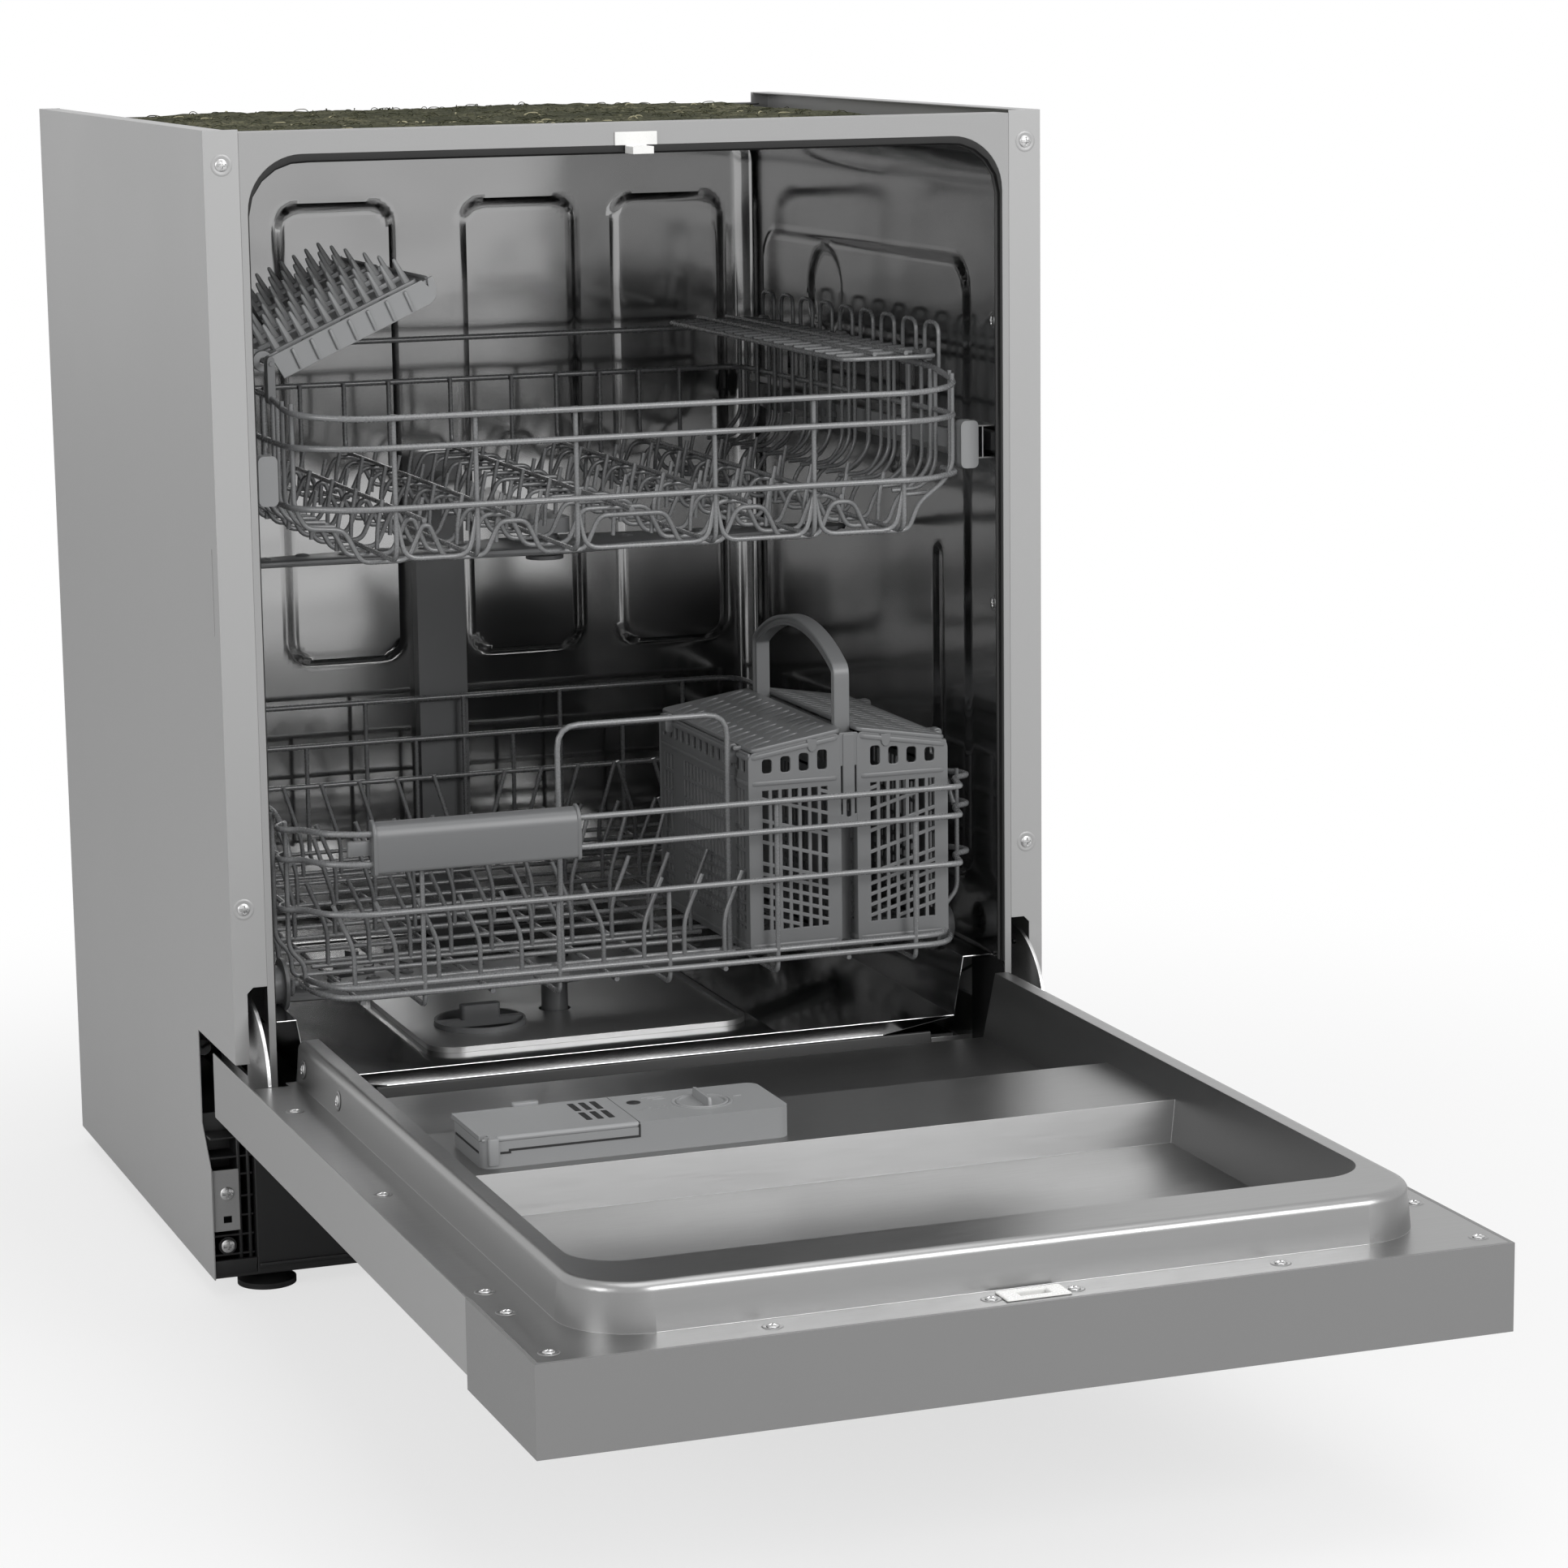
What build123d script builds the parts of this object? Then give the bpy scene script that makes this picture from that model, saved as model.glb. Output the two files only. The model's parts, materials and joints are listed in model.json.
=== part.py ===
"""A built-under dishwasher with its door open and both baskets in, as separate pieces.

Every piece is drawn with the cabinet's front plane at y = 0, +y towards the back, +x to the right
and z up from the floor. The finished pieces are then moved so that the origin lies under the
middle of the whole object. The open door lies level, so its own sizes read as lengths along the
door: "reach" is how far in front of the cabinet a line of the door lies.
"""
from build123d import *
import math
import os

# Cabinet
cabinet_width = 598.0
cabinet_depth = 550.0
cabinet_height = 820.0
steel = 1.0                    # every folded steel sheet
flange_width = 24.0            # front flange of a side panel
flange_bottom = 190.0
panel_bottom = 13.0
toe_setback = 89.0             # lower front edge of a side panel
toe_top = 93.0
swing_setback = 113.0          # where the door's lower end swings
swing_foot = 122.0
hinge_notch_width = 10.0       # steel left beside the notch for the hinge arm
hinge_notch_top = 243.0

# Mouth and tub
mouth_half = cabinet_width / 2 - 29
mouth_top = cabinet_height - 17
mouth_radius = 38.0
mouth_bottom = 165.0
tub_half = mouth_half + 2
tub_top = mouth_top + 2
tub_radius = mouth_radius + 2
tub_back_y = cabinet_depth - 23
ledge_top = 211.0              # the wheels roll on it
ledge_inner = tub_half - 23.5
slope_half = tub_half - 31
slope_z = 168.0
floor_half = 130.0
floor_z = 150.0
tub_front_y = 28.0
lip_z = 158.0
apron_half = tub_half - 67
apron_front_y = -14.0
blanket = 11.0
gasket_depth = 10.0
gasket_inner_half = tub_half - 5.8

# Door, lying open
door_reach = cabinet_height - 133.5
door_tail = 68.5               # how far the outer panel reaches behind the front plane
fascia_length = 132.5
fascia_thickness = 54.0
panel_thickness = 46.0
flange_z = 183.0               # the door's inner flange plane
door_gap = 3.5                 # between the closed door and the cabinet
closed_top = cabinet_height - 4.0
fascia_wall = 2.5
rim_height = 28.0
rim_half = mouth_half - 5
rim_front = door_reach - 29.5
rim_corner = 45.0
rim_draft = 5.0
rim_round = 6.0
liner_end = 32.0               # rear end of the liner pan
pan_half = rim_half - 16.5
pan_front = rim_front - 49
pan_corner = 32.0
pan_depth = 46.0               # below the rim's top
pan_draft = 11.7
step_front = 340.0
step_back = 233.0
step_height = 9.0              # above the flange plane
step_draft = 6.0

# Hinge
pin_radius = 4.0
running_gap = 0.06
bracket_x = mouth_half + 6
bracket_thickness = 3.0
arm_x = cabinet_width / 2 - 15.5
arm_thickness = 2.5
cover_radius = 60.0
cover_y = 21.0
cover_z = 174.0
hook_z = 222.0                 # where the spring's cord hangs in the quarter-round

# Dispenser
dispenser_left = -pan_half + 26.5
dispenser_right = dispenser_left + 203.5
dispenser_front = 329.0
dispenser_back = 262.0
dispenser_height = 20.0        # above the step
lid_split = dispenser_left + 103
lid_thickness = 3.0
lid_post = 5.0                 # post of the housing beside the lid's hinge bar
hinge_bar = 2.2
cup_depth = 30.0
cap_radius = 17.0
cap_x = dispenser_right - 47.5

# Baskets
wire = 4.4
lower_front_y = -8.0
lower_depth = tub_back_y - 12
lower_half = tub_half - 29.1
lower_floor_z = 228.0
lower_wall_top = 350.0
lower_wires_z = (344.0, 323.0, 288.0)
upper_front_y = -14.0
upper_depth = tub_back_y - 37
upper_half = tub_half - 26.8
upper_wall_top = cabinet_height - 180
upper_floor_z = upper_wall_top - 116
upper_wires_z = (upper_wall_top - 13, upper_wall_top - 33, upper_wall_top - 74)
tray_tilt = 24.0
wheel_radius = 13.5
wheel_flange_radius = 18.5
wheel_lift = 0.2
wheel_places = (89.0, 189.0, 339.0, 439.0)
slack = 0.3                    # between sliding or swinging pieces

# Cutlery basket
cutlery_half_width = 69.0
cutlery_channel = 13.0
cutlery_left = lower_half - 13.9 - cutlery_channel - 2 * cutlery_half_width
cutlery_setback = 16.0
cutlery_length = 195.0
cutlery_height = 146.0
cutlery_wall = 2.2
lid_pin = 1.5                  # radius of a lid's hinge pin
lid_pin_out = 2.7              # how far the pin lies outside the basket's edge

# Spray arms
arm_centre_y = tub_back_y / 2 - 33.5
lower_arm_radius = min(tub_half - 47, arm_centre_y - 5)
lower_arm_z = 176.0
upper_arm_radius = min(tub_half - 29, arm_centre_y + 13)
upper_arm_z = upper_floor_z - 26
post_radius = 10.0
feed_overhang = 10.0           # of the feed tube behind the upper basket

# Rails
rail_z = upper_wall_top - 56
rail_height = 24.0
rail_front_y = 40.0
rail_length = tub_back_y - 27 - rail_front_y
rail_steel = 1.2
rail_lip_x = tub_half - 11     # front edges of the fixed channel
rail_web_x = tub_half - 15     # inner face of the moving rail
rail_cap_width = 13.4

# Tub floor
sump_x = -27.5
sump_y = arm_centre_y - 5
sump_width = 171.0
sump_length = 146.0
filter_x = -66.0
filter_y = arm_centre_y - 25
filter_radius = 34.0
softener_x = -90.0
softener_y = tub_back_y - 127
float_x = 100.0
float_y = tub_back_y - 157

# Base
base_top = 138.0
base_front_y = 92.0
base_half = cabinet_width / 2 - 32
base_back_y = cabinet_depth - 32
foot_x = cabinet_width / 2 - 44
foot_y = 116.0
inlet_x = -base_half + 42
drain_x = base_half - 42
gland_x = drain_x - 75
pipe_z = 80.0

# Fittings of the door's top edge
button_x = cabinet_width / 2 - 49
button_y = -door_reach + 61.5
button_radius = 8.0
button_travel = 1.5

side_x = cabinet_width / 2
flange_inner = side_x - flange_width
hinge_y = (closed_top - door_reach - flange_z - door_gap) / 2
hinge_z = flange_z + hinge_y + door_gap
step_z = flange_z + step_height
rim_z = flange_z + rim_height
pan_z = rim_z - pan_depth
cavity_top = flange_z - steel
closed_zero = hinge_z + hinge_y    # a line s in front of the cabinet closes to this height plus s
latch_y = closed_zero - mouth_top + 3
shelf_x = upper_half - wire / 2
shelf_z = upper_wall_top + 5.5
tray_x = -shelf_x
tray_z = upper_wall_top + 20
shelf_clips = (upper_front_y + 90, upper_front_y + 260, upper_front_y + 430)


def box(x0, x1, y0, y1, z0, z1):
    """A block between two corners."""
    centre = Pos((x0 + x1) / 2, (y0 + y1) / 2, (z0 + z1) / 2)
    return centre * Box(x1 - x0, y1 - y0, z1 - z0)


def along_y(face, y0, y1):
    """A face drawn in x and z, drawn out from y0 to y1."""
    plane = Plane((0, y0, 0), x_dir=(1, 0, 0), z_dir=(0, -1, 0))
    return extrude(plane * face, amount=y0 - y1)


def along_x(face, x0, x1):
    """A face drawn in y and z, drawn out from x0 to x1."""
    plane = Plane((x0, 0, 0), x_dir=(0, 1, 0), z_dir=(1, 0, 0))
    return extrude(plane * face, amount=x1 - x0)


def along_z(face, z0, z1):
    """A face drawn in x and y, drawn out from z0 to z1."""
    return extrude(Pos(0, 0, z0) * face, amount=z1 - z0)


def outline(*points):
    """A face with straight edges."""
    return make_face(Polyline(*points, close=True))


def rod(start, end, radius):
    """A round bar between two points."""
    line = Line(start, end)
    return extrude(Plane(start, z_dir=line % 0) * Circle(radius), amount=line.length)


def folded(points, thickness):
    """The section of a folded sheet: the points are one face, the other is to their left."""
    other = []
    for n, point in enumerate(points):
        before = Vector(*point) - Vector(*points[n - 1]) if n else None
        after = Vector(*points[n + 1]) - Vector(*point) if n + 1 < len(points) else None
        sides = [Vector(-d.Y, d.X).normalized() for d in (before, after) if d is not None]
        mitre = sides[0] + sides[-1]
        move = mitre * (thickness * 2 / mitre.dot(mitre))
        other.append((point[0] + move.X, point[1] + move.Y))
    return outline(*points, *reversed(other))


def group(*shapes):
    """Separate solids kept together in one node."""
    return Compound([solid for shape in shapes for solid in shape.solids()])


def both_sides(shape):
    """A piece and its mirror image on the other side of the object."""
    return group(shape, mirror(shape, about=Plane.YZ))


def grid(width, height, ups, acrosses, bar):
    """A flat wire panel in one plane, centred on its middle, as one face."""
    bars = [Pos(x, 0) * Rectangle(bar, height) for x in ups]
    bars += [Pos(0, y) * Rectangle(width, bar) for y in acrosses]
    return Sketch() + bars


def spread(first, last, count):
    """Evenly spaced places from first to last."""
    return [first + (last - first) * n / (count - 1) for n in range(count)]


def mouth_face(half, top, radius, bottom):
    """The tub's front view: straight sides and a top with round corners."""
    whole = Pos(0, (top + bottom) / 2 - radius) * RectangleRounded(2 * half, top - bottom + 2 * radius, radius)
    return whole - Pos(0, bottom - 2 * radius) * Rectangle(4 * half, 4 * radius)


# Cabinet

def side_panel():
    """The left side panel: one folded sheet with the door's swing cut out of its lower front."""
    side = outline(
        (0, flange_bottom), (0, cabinet_height), (cabinet_depth, cabinet_height),
        (cabinet_depth, panel_bottom), (toe_setback, panel_bottom), (toe_setback, toe_top),
        (swing_setback, swing_foot), (swing_setback, flange_bottom),
    )
    wall = along_x(side, -side_x, -side_x + steel)
    slit = box(-side_x, -side_x + steel, 15, 16.5, 483, 542)
    front = box(-side_x, -flange_inner, 0, steel, flange_bottom, cabinet_height)
    notch = outline(
        (-side_x + hinge_notch_width, flange_bottom), (-side_x + hinge_notch_width, hinge_notch_top - 4),
        (-side_x + hinge_notch_width + 4, hinge_notch_top), (-flange_inner, hinge_notch_top),
        (-flange_inner, flange_bottom),
    )
    top = box(-side_x, -side_x + 14, 0, cabinet_depth, cabinet_height - steel, cabinet_height)
    back = box(-side_x, -side_x + 16, cabinet_depth - steel, cabinet_depth, panel_bottom, cabinet_height)
    return wall - slit + (front - along_y(notch, 0, steel)) + top + back


def front_frame():
    """The band round the mouth between the two flanges, turned back along its top."""
    top = cabinet_height - 2
    sheet = Pos(0, (top + mouth_bottom) / 2) * Rectangle(2 * flange_inner, top - mouth_bottom)
    face = sheet - mouth_face(mouth_half, mouth_top, mouth_radius, mouth_bottom)
    lip = box(-flange_inner, flange_inner, 0, 26, top - steel, top)
    return along_y(face, 0, steel) + lip


def rear_panel():
    """The plain sheet that closes the back, with two pressed stiffening fields."""
    back = cabinet_depth - steel
    low, high = 120, cabinet_height - 36
    sheet = box(-side_x + steel, side_x - steel, back - steel, back, low, high)
    field = RectangleRounded(side_x - 79, high - low - 104, 24)
    for x in (19.5 - side_x / 2, side_x / 2 - 19.5):
        sheet -= along_y(Pos(x, (low + high) / 2) * field, back - 0.4, back)
    return sheet


def rear_cross_member():
    """The black channel across the top of the back, with its row of slits."""
    back = cabinet_depth - steel
    high, low = cabinet_height - 8, cabinet_height - 34
    section = folded([(back - 20, high), (back, high), (back, low), (back - 20, low)], -1.5)
    channel = along_x(section, -side_x + 16, side_x - 16)
    for x in spread(59 - side_x, side_x - 59, 9):
        channel -= box(x - 16, x + 16, back - 14, back - 8, high - 7, high + 6)
    return channel


def insulation_blanket():
    """Felt over the tub's top and down both sides."""
    outer = mouth_face(tub_half + steel + blanket, tub_top + steel + blanket - 1, tub_radius + blanket, 260)
    inner = mouth_face(tub_half + steel, tub_top + steel, tub_radius + steel, 0)
    return along_y(outer - inner, 28, tub_back_y - 8)


def latch_striker():
    """The white catch on the front band, with the nose that the door's latch grips."""
    plate = box(-15, 15, -1.5, 0, mouth_top, mouth_top + 9)
    stem = box(-7.5, 7.5, -1.5, 0, mouth_top - 5.5, mouth_top)
    nose = box(-7.5, 7.5, -17, -1.5, mouth_top - 5.5, mouth_top - 0.5)
    return plate + stem + nose


# Tub

def tub_wrap():
    """Sides and top of the tub, from one bent sheet."""
    ring = mouth_face(tub_half + steel, tub_top + steel, tub_radius + steel, ledge_top)
    return along_y(ring - mouth_face(tub_half, tub_top, tub_radius, 0), steel, tub_back_y)


def tub_back():
    """Back wall with two pressed rectangles that stand forward of it."""
    half = tub_half + steel
    sheet = mouth_face(half, tub_top + steel, tub_radius + steel, floor_z - steel)
    wall = along_y(sheet, tub_back_y, tub_back_y + steel)
    low, high = 380, tub_top - 65
    for x in (-75, 75):
        place = Pos(x, (low + high) / 2)
        wall += along_y(place * RectangleRounded(91, high - low, 16), tub_back_y - 3, tub_back_y + steel)
        wall -= along_y(place * RectangleRounded(89, high - low - 2, 15), tub_back_y - 2, tub_back_y + steel)
    return wall


def tub_bottom():
    """Bottom pan: wheel ledges at the sides, slopes, a flat middle with the sump opening, a front lip."""
    half = tub_half + steel
    section = folded([
        (half, ledge_top), (ledge_inner, ledge_top), (slope_half, slope_z), (floor_half, floor_z),
        (-floor_half, floor_z), (-slope_half, slope_z), (-ledge_inner, ledge_top), (-half, ledge_top),
    ], steel)
    pan = along_y(section, tub_front_y, tub_back_y)
    front = outline(
        (-slope_half, slope_z), (-floor_half, floor_z), (floor_half, floor_z), (slope_half, slope_z),
    )
    lip = along_y(front, tub_front_y, tub_front_y + steel)
    apron = box(-apron_half, apron_half, apron_front_y, tub_front_y, lip_z - steel, lip_z)
    rise = box(-apron_half, apron_half, tub_front_y, tub_front_y + steel, floor_z - steel, lip_z)
    sump_hole = Pos(sump_x, sump_y) * RectangleRounded(sump_width, sump_length, 20)
    cap_hole = Pos(softener_x, softener_y) * Circle(30)
    float_hole = Pos(float_x, float_y) * Circle(12)
    return pan + lip + rise + apron - along_z(sump_hole + cap_hole + float_hole, 140, 156)


def door_gasket():
    """Rubber round the sides and top of the mouth, seated in the wrap's front end."""
    bulb = tub_half - gasket_inner_half
    outer = mouth_face(tub_half, tub_top, tub_radius, ledge_top)
    inner = mouth_face(gasket_inner_half, tub_top - bulb, tub_radius - bulb, 0)
    return along_y(outer - inner, steel, steel + gasket_depth)


def bottom_seal():
    """Rubber strip along the apron's front edge."""
    end = apron_front_y
    section = outline(
        (end, lip_z - steel), (end, lip_z), (end + 5, lip_z), (end + 5, lip_z + 2), (end, lip_z + 11),
        (end - 3, lip_z + 11), (end - 4.6, lip_z + 2), (end - 4.6, lip_z - steel),
    )
    return along_x(section, -apron_half, apron_half)


def sump():
    """Plastic pot under the tub with the bearing post of the lower spray arm."""
    face = Pos(sump_x, sump_y) * RectangleRounded(sump_width, sump_length, 20)
    pot = along_z(offset(face, amount=2.5), 70, floor_z - steel)
    pot -= along_z(face, 72.5, floor_z)
    rim = along_z(offset(face, amount=12) - face, floor_z - steel - 2, floor_z - steel)
    post = rod((0, arm_centre_y, 72.5), (0, arm_centre_y, lower_arm_z + 20), post_radius)
    nut = rod((0, arm_centre_y, lower_arm_z + 20), (0, arm_centre_y, lower_arm_z + 25), post_radius + 4)
    return pot + rim + post + nut


def filter_plate():
    """Fine mesh plate on the tub's flat floor, with holes for the arm's post and the filter."""
    centre = Pos(0, arm_centre_y - 2)
    plate = centre * RectangleRounded(246, 196, 24)
    plate -= Pos(0, arm_centre_y) * Circle(post_radius + 2)
    plate -= Pos(filter_x, filter_y) * Circle(filter_radius + slack)
    rim = centre * (RectangleRounded(246, 196, 24) - RectangleRounded(236, 186, 19))
    return along_z(plate, floor_z, floor_z + 2) + along_z(rim, floor_z, floor_z + 4)


def filter_cylinder():
    """Upright filter that twists and lifts out, with its cross handle."""
    centre = Pos(filter_x, filter_y)
    shell = along_z(centre * (Circle(filter_radius) - Circle(filter_radius - 2)), 80, floor_z + 6)
    floor = along_z(centre * Circle(filter_radius), 78, 80)
    bridge = along_z(centre * Rectangle(2 * filter_radius - 3, 9), floor_z + 1, floor_z + 6)
    grip = along_z(centre * RectangleRounded(30, 9, 3), floor_z + 6, floor_z + 17)
    return shell + floor + bridge + grip


def float_cap():
    """Overflow float: a domed cap on a stem."""
    section = outline(
        (0, floor_z - 34), (5, floor_z - 34), (5, floor_z + 5), (17, floor_z + 5), (18, floor_z + 8),
        (15, floor_z + 14), (8, floor_z + 16), (0, floor_z + 16),
    )
    turned = revolve(Plane.XZ * section, axis=Axis.Z)
    return Pos(float_x, float_y, 0) * turned


def softener_cap():
    """Screw cap over the salt container's neck."""
    centre = Pos(softener_x, softener_y)
    disc = along_z(centre * Circle(36), floor_z + slack, floor_z + 9)
    plug = along_z(centre * Circle(24), floor_z - 14, floor_z + slack)
    ribs = [
        along_z(centre * Rot(0, 0, n * 60) * Pos(30, 0) * RectangleRounded(12, 6, 2), floor_z + 9, floor_z + 15)
        for n in range(6)
    ]
    return disc + plug + ribs


def softener():
    """Salt container beside the sump, its neck under the tub's floor."""
    body = Pos(softener_x - 15, softener_y) * RectangleRounded(130, 150, 18)
    case = along_z(body, 17, 124)
    neck = along_z(Pos(softener_x, softener_y) * (Circle(33) - Circle(25)), 124, floor_z - steel)
    return case + neck


def feed_pipe():
    """Flat riser on the back wall that feeds the upper spray arm, with its outlet."""
    high = upper_floor_z + 21
    riser = Pos(0, (floor_z + high) / 2) * RectangleRounded(40, high - floor_z, 8)
    duct = along_y(riser, tub_back_y - 15, tub_back_y)
    docked = upper_front_y + upper_depth + feed_overhang + 1
    return duct + rod((0, tub_back_y - 15, upper_floor_z - 6), (0, docked, upper_floor_z - 6), 11)


def rail_channels():
    """Fixed telescopic channels, screwed to the tub's side walls."""
    h = rail_height / 2
    section = folded([
        (-rail_lip_x, rail_z - h + 5), (-rail_lip_x, rail_z - h), (-tub_half, rail_z - h),
        (-tub_half, rail_z + h), (-rail_lip_x, rail_z + h), (-rail_lip_x, rail_z + h - 5),
    ], -rail_steel)
    return both_sides(along_y(section, rail_front_y, rail_front_y + rail_length))


def moving_rails():
    """Inner rails: a web that clears the mouth, a wide slide kept inside the channel, and an end cap."""
    h = rail_height / 2 - rail_steel - slack
    back = rail_front_y + rail_length - 10
    outer = gasket_inner_half - 0.5
    web = along_y(Pos(-(outer + rail_web_x) / 2, rail_z) * Rectangle(outer - rail_web_x, 2 * (h - 4)), rail_front_y - 1, back)
    inside = rail_lip_x + rail_steel + slack
    wide = tub_half - rail_steel - slack
    slide = along_y(Pos(-(inside + wide) / 2, rail_z) * Rectangle(wide - inside, 2 * h), back - 225, back)
    cap_x = -rail_web_x + 7.9 - rail_cap_width / 2
    cap = along_y(Pos(cap_x, rail_z) * RectangleRounded(rail_cap_width, 34, 4), rail_front_y - 13, rail_front_y - 1)
    return both_sides(group(web + slide, cap))


# Base

def base_tray():
    """Black plastic base: a deep tray with a wide floor, ribs at its front and foot sockets."""
    floor = box(-side_x + steel, side_x - steel, base_front_y, cabinet_depth - steel, panel_bottom, panel_bottom + 3)
    wall = Pos(0, (base_front_y + base_back_y + 3) / 2) * Rectangle(2 * base_half, base_back_y + 3 - base_front_y)
    inner = Pos(0, (base_front_y + base_back_y + 3) / 2) * Rectangle(2 * base_half - 6, base_back_y - 3 - base_front_y)
    tray = floor + along_z(wall - inner, panel_bottom, base_top)
    tray += along_z(wall, panel_bottom, panel_bottom + 3)
    for x in (-base_half, base_half):
        outer = math.copysign(side_x - steel, x)
        for z in spread(panel_bottom + 20, base_top - 40, 4):
            tray += box(min(x, outer), max(x, outer), swing_setback + 7, swing_setback + 40, z, z + 3)
    for x in (-foot_x, foot_x):
        tray += along_z(Pos(x, foot_y) * Circle(11.5), panel_bottom, panel_bottom + 26)
        tray -= along_z(Pos(x, foot_y) * Circle(5 + running_gap), 0, panel_bottom + 26)
    tray -= rod((inlet_x, base_back_y - 5, pipe_z), (inlet_x, base_back_y + 5, pipe_z), 15)
    drain = rod((drain_x, base_back_y + 3, pipe_z), (drain_x, base_back_y + 27, pipe_z), 10.5)
    gland = rod((gland_x, base_back_y + 3, pipe_z), (gland_x, base_back_y + 15, pipe_z), 9)
    tray += drain + gland
    tray -= rod((drain_x, base_back_y - 5, pipe_z), (drain_x, base_back_y + 27, pipe_z), 8)
    return tray - rod((gland_x, base_back_y - 5, pipe_z), (gland_x, base_back_y + 15, pipe_z), 4)


def base_brackets():
    """Galvanised toe brackets at the base's front corners, each with a square hole."""
    face = Pos(-side_x + 10.5, 70) * Rectangle(19, 44) - Pos(-side_x + 12, 74) * Rectangle(6, 5)
    plate = along_y(face, base_front_y - 1.2, base_front_y)
    arm = box(-side_x + steel, -base_half, base_front_y, base_front_y + 40, 68, 70)
    return both_sides(plate + arm)


def adjustable_foot(side):
    """A front foot: a round pad on a threaded stem that turns in the base."""
    pad = outline((0, 0), (21, 0), (21, 4), (12, 10), (5, 10), (5, 36), (0, 36))
    return Pos(side * foot_x, foot_y, 0) * revolve(Plane.XZ * pad, axis=Axis.Z)


def rear_feet():
    """Round pads under the base's rear corners."""
    pad = outline((0, 0), (20, 0), (20, 4), (12, panel_bottom), (0, panel_bottom))
    return both_sides(Pos(-foot_x, cabinet_depth - 28, 0) * revolve(Plane.XZ * pad, axis=Axis.Z))


def wash_pump():
    """Circulation pump: volute against the sump and a motor with its rubber foot."""
    left = sump_x + sump_width / 2 + 2.5
    volute = rod((left, sump_y, 95), (left + 34, sump_y, 95), 44)
    motor = rod((left + 34, sump_y, 95), (left + 130, sump_y, 95), 38)
    foot = box(left + 60, left + 90, sump_y - 20, sump_y + 20, panel_bottom + 3, 62)
    return volute + motor + foot


def drain_pump():
    """Small pump on the sump's left wall."""
    right = sump_x - sump_width / 2 - 2.5
    y = sump_y + 10
    head = rod((right, y, 100), (right - 24, y, 100), 26)
    motor = rod((right - 24, y, 100), (right - 64, y, 100), 22)
    return head + motor


def inlet_valve():
    """Water inlet valve behind the base's rear wall, with its threaded spigot."""
    body = box(inlet_x - 24, inlet_x + 24, base_back_y - 50, base_back_y, panel_bottom + 3, pipe_z + 24)
    spigot = rod((inlet_x, base_back_y, pipe_z), (inlet_x, base_back_y + 27, pipe_z), 13.2)
    bore = rod((inlet_x, base_back_y - 8, pipe_z), (inlet_x, base_back_y + 27, pipe_z), 8)
    return body + spigot - bore


def counterweight():
    """Cast block that keeps the cabinet down when the door is open."""
    block = Pos(110, cabinet_depth - 90) * RectangleRounded(240, 90, 8)
    return along_z(block, panel_bottom + 3, 66)


def hinge_brackets():
    """Steel brackets from the base's sides to the door's pivot, each with its pin."""
    plate = outline(
        (hinge_y, hinge_z - 12), (60, 146), (130, 130), (130, 168), (hinge_y, hinge_z + 12),
    )
    x0 = bracket_x
    bracket = along_x(plate, x0, x0 + bracket_thickness)
    bracket += rod((x0, hinge_y, hinge_z), (x0 + bracket_thickness, hinge_y, hinge_z), 12)
    foot = box(base_half, x0, 100, 130, 130, 133)
    pin = rod((x0 + bracket_thickness, hinge_y, hinge_z), (arm_x + arm_thickness + 3, hinge_y, hinge_z), pin_radius)
    return both_sides(bracket + foot + pin)


def hinge_springs():
    """Door springs: a cord from the quarter-round's rear corner, a coil and a hook on the base."""
    x = arm_x + arm_thickness + 3
    start = (x, cover_y - 7, hook_z)
    end = (x, 300.0, 105.0)
    line = Line(start, end)
    hook = rod((arm_x - 1.5, cover_y - 7, hook_z), (x + 2.5, cover_y - 7, hook_z), 1.8)
    cord = rod(line @ 0, line @ 0.46, 1.2)
    coil = rod(line @ 0.45, line @ 0.9, 5.5)
    end_hook = rod(line @ 0.9, line @ 1, 1.5)
    post = box(base_half, x + 3, 296, 303, 98, 112) - rod(line @ 0.9, line @ 1, 1.5)
    return both_sides(group(hook + cord + coil + end_hook, post))


# Door

def rim_block(inset, base_z):
    """The liner's raised rim as a full block, its walls drawn in by inset."""
    width = 2 * (rim_half - inset)
    length = rim_front - inset + door_tail
    face = Pos(0, (door_tail - rim_front + inset) / 2) * RectangleRounded(width, length, rim_corner - inset)
    height = rim_z - inset - base_z
    block = extrude(Pos(0, 0, base_z) * face, amount=height, taper=rim_draft)
    return fillet(block.faces().sort_by(Axis.Z)[-1].edges(), rim_round - inset)


def pan_block(grow):
    """The liner's recess as a block: two floors with a step across between them."""
    face = Pos(0, (door_tail + 60 - pan_front - grow) / 2) * RectangleRounded(
        2 * (pan_half + grow), pan_front + door_tail + 60 + grow, pan_corner + grow)
    block = extrude(Pos(0, 0, rim_z) * face, amount=-(pan_depth + grow), taper=pan_draft)
    foot = pan_z - grow - 1
    top = step_z - grow
    step = outline(
        (-step_front - step_draft + grow, foot), (-step_front + grow, top), (-step_back - grow, top),
        (-step_back + step_draft - grow, foot),
    )
    return block - along_x(step, -pan_half - 5, pan_half + 5)


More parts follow.
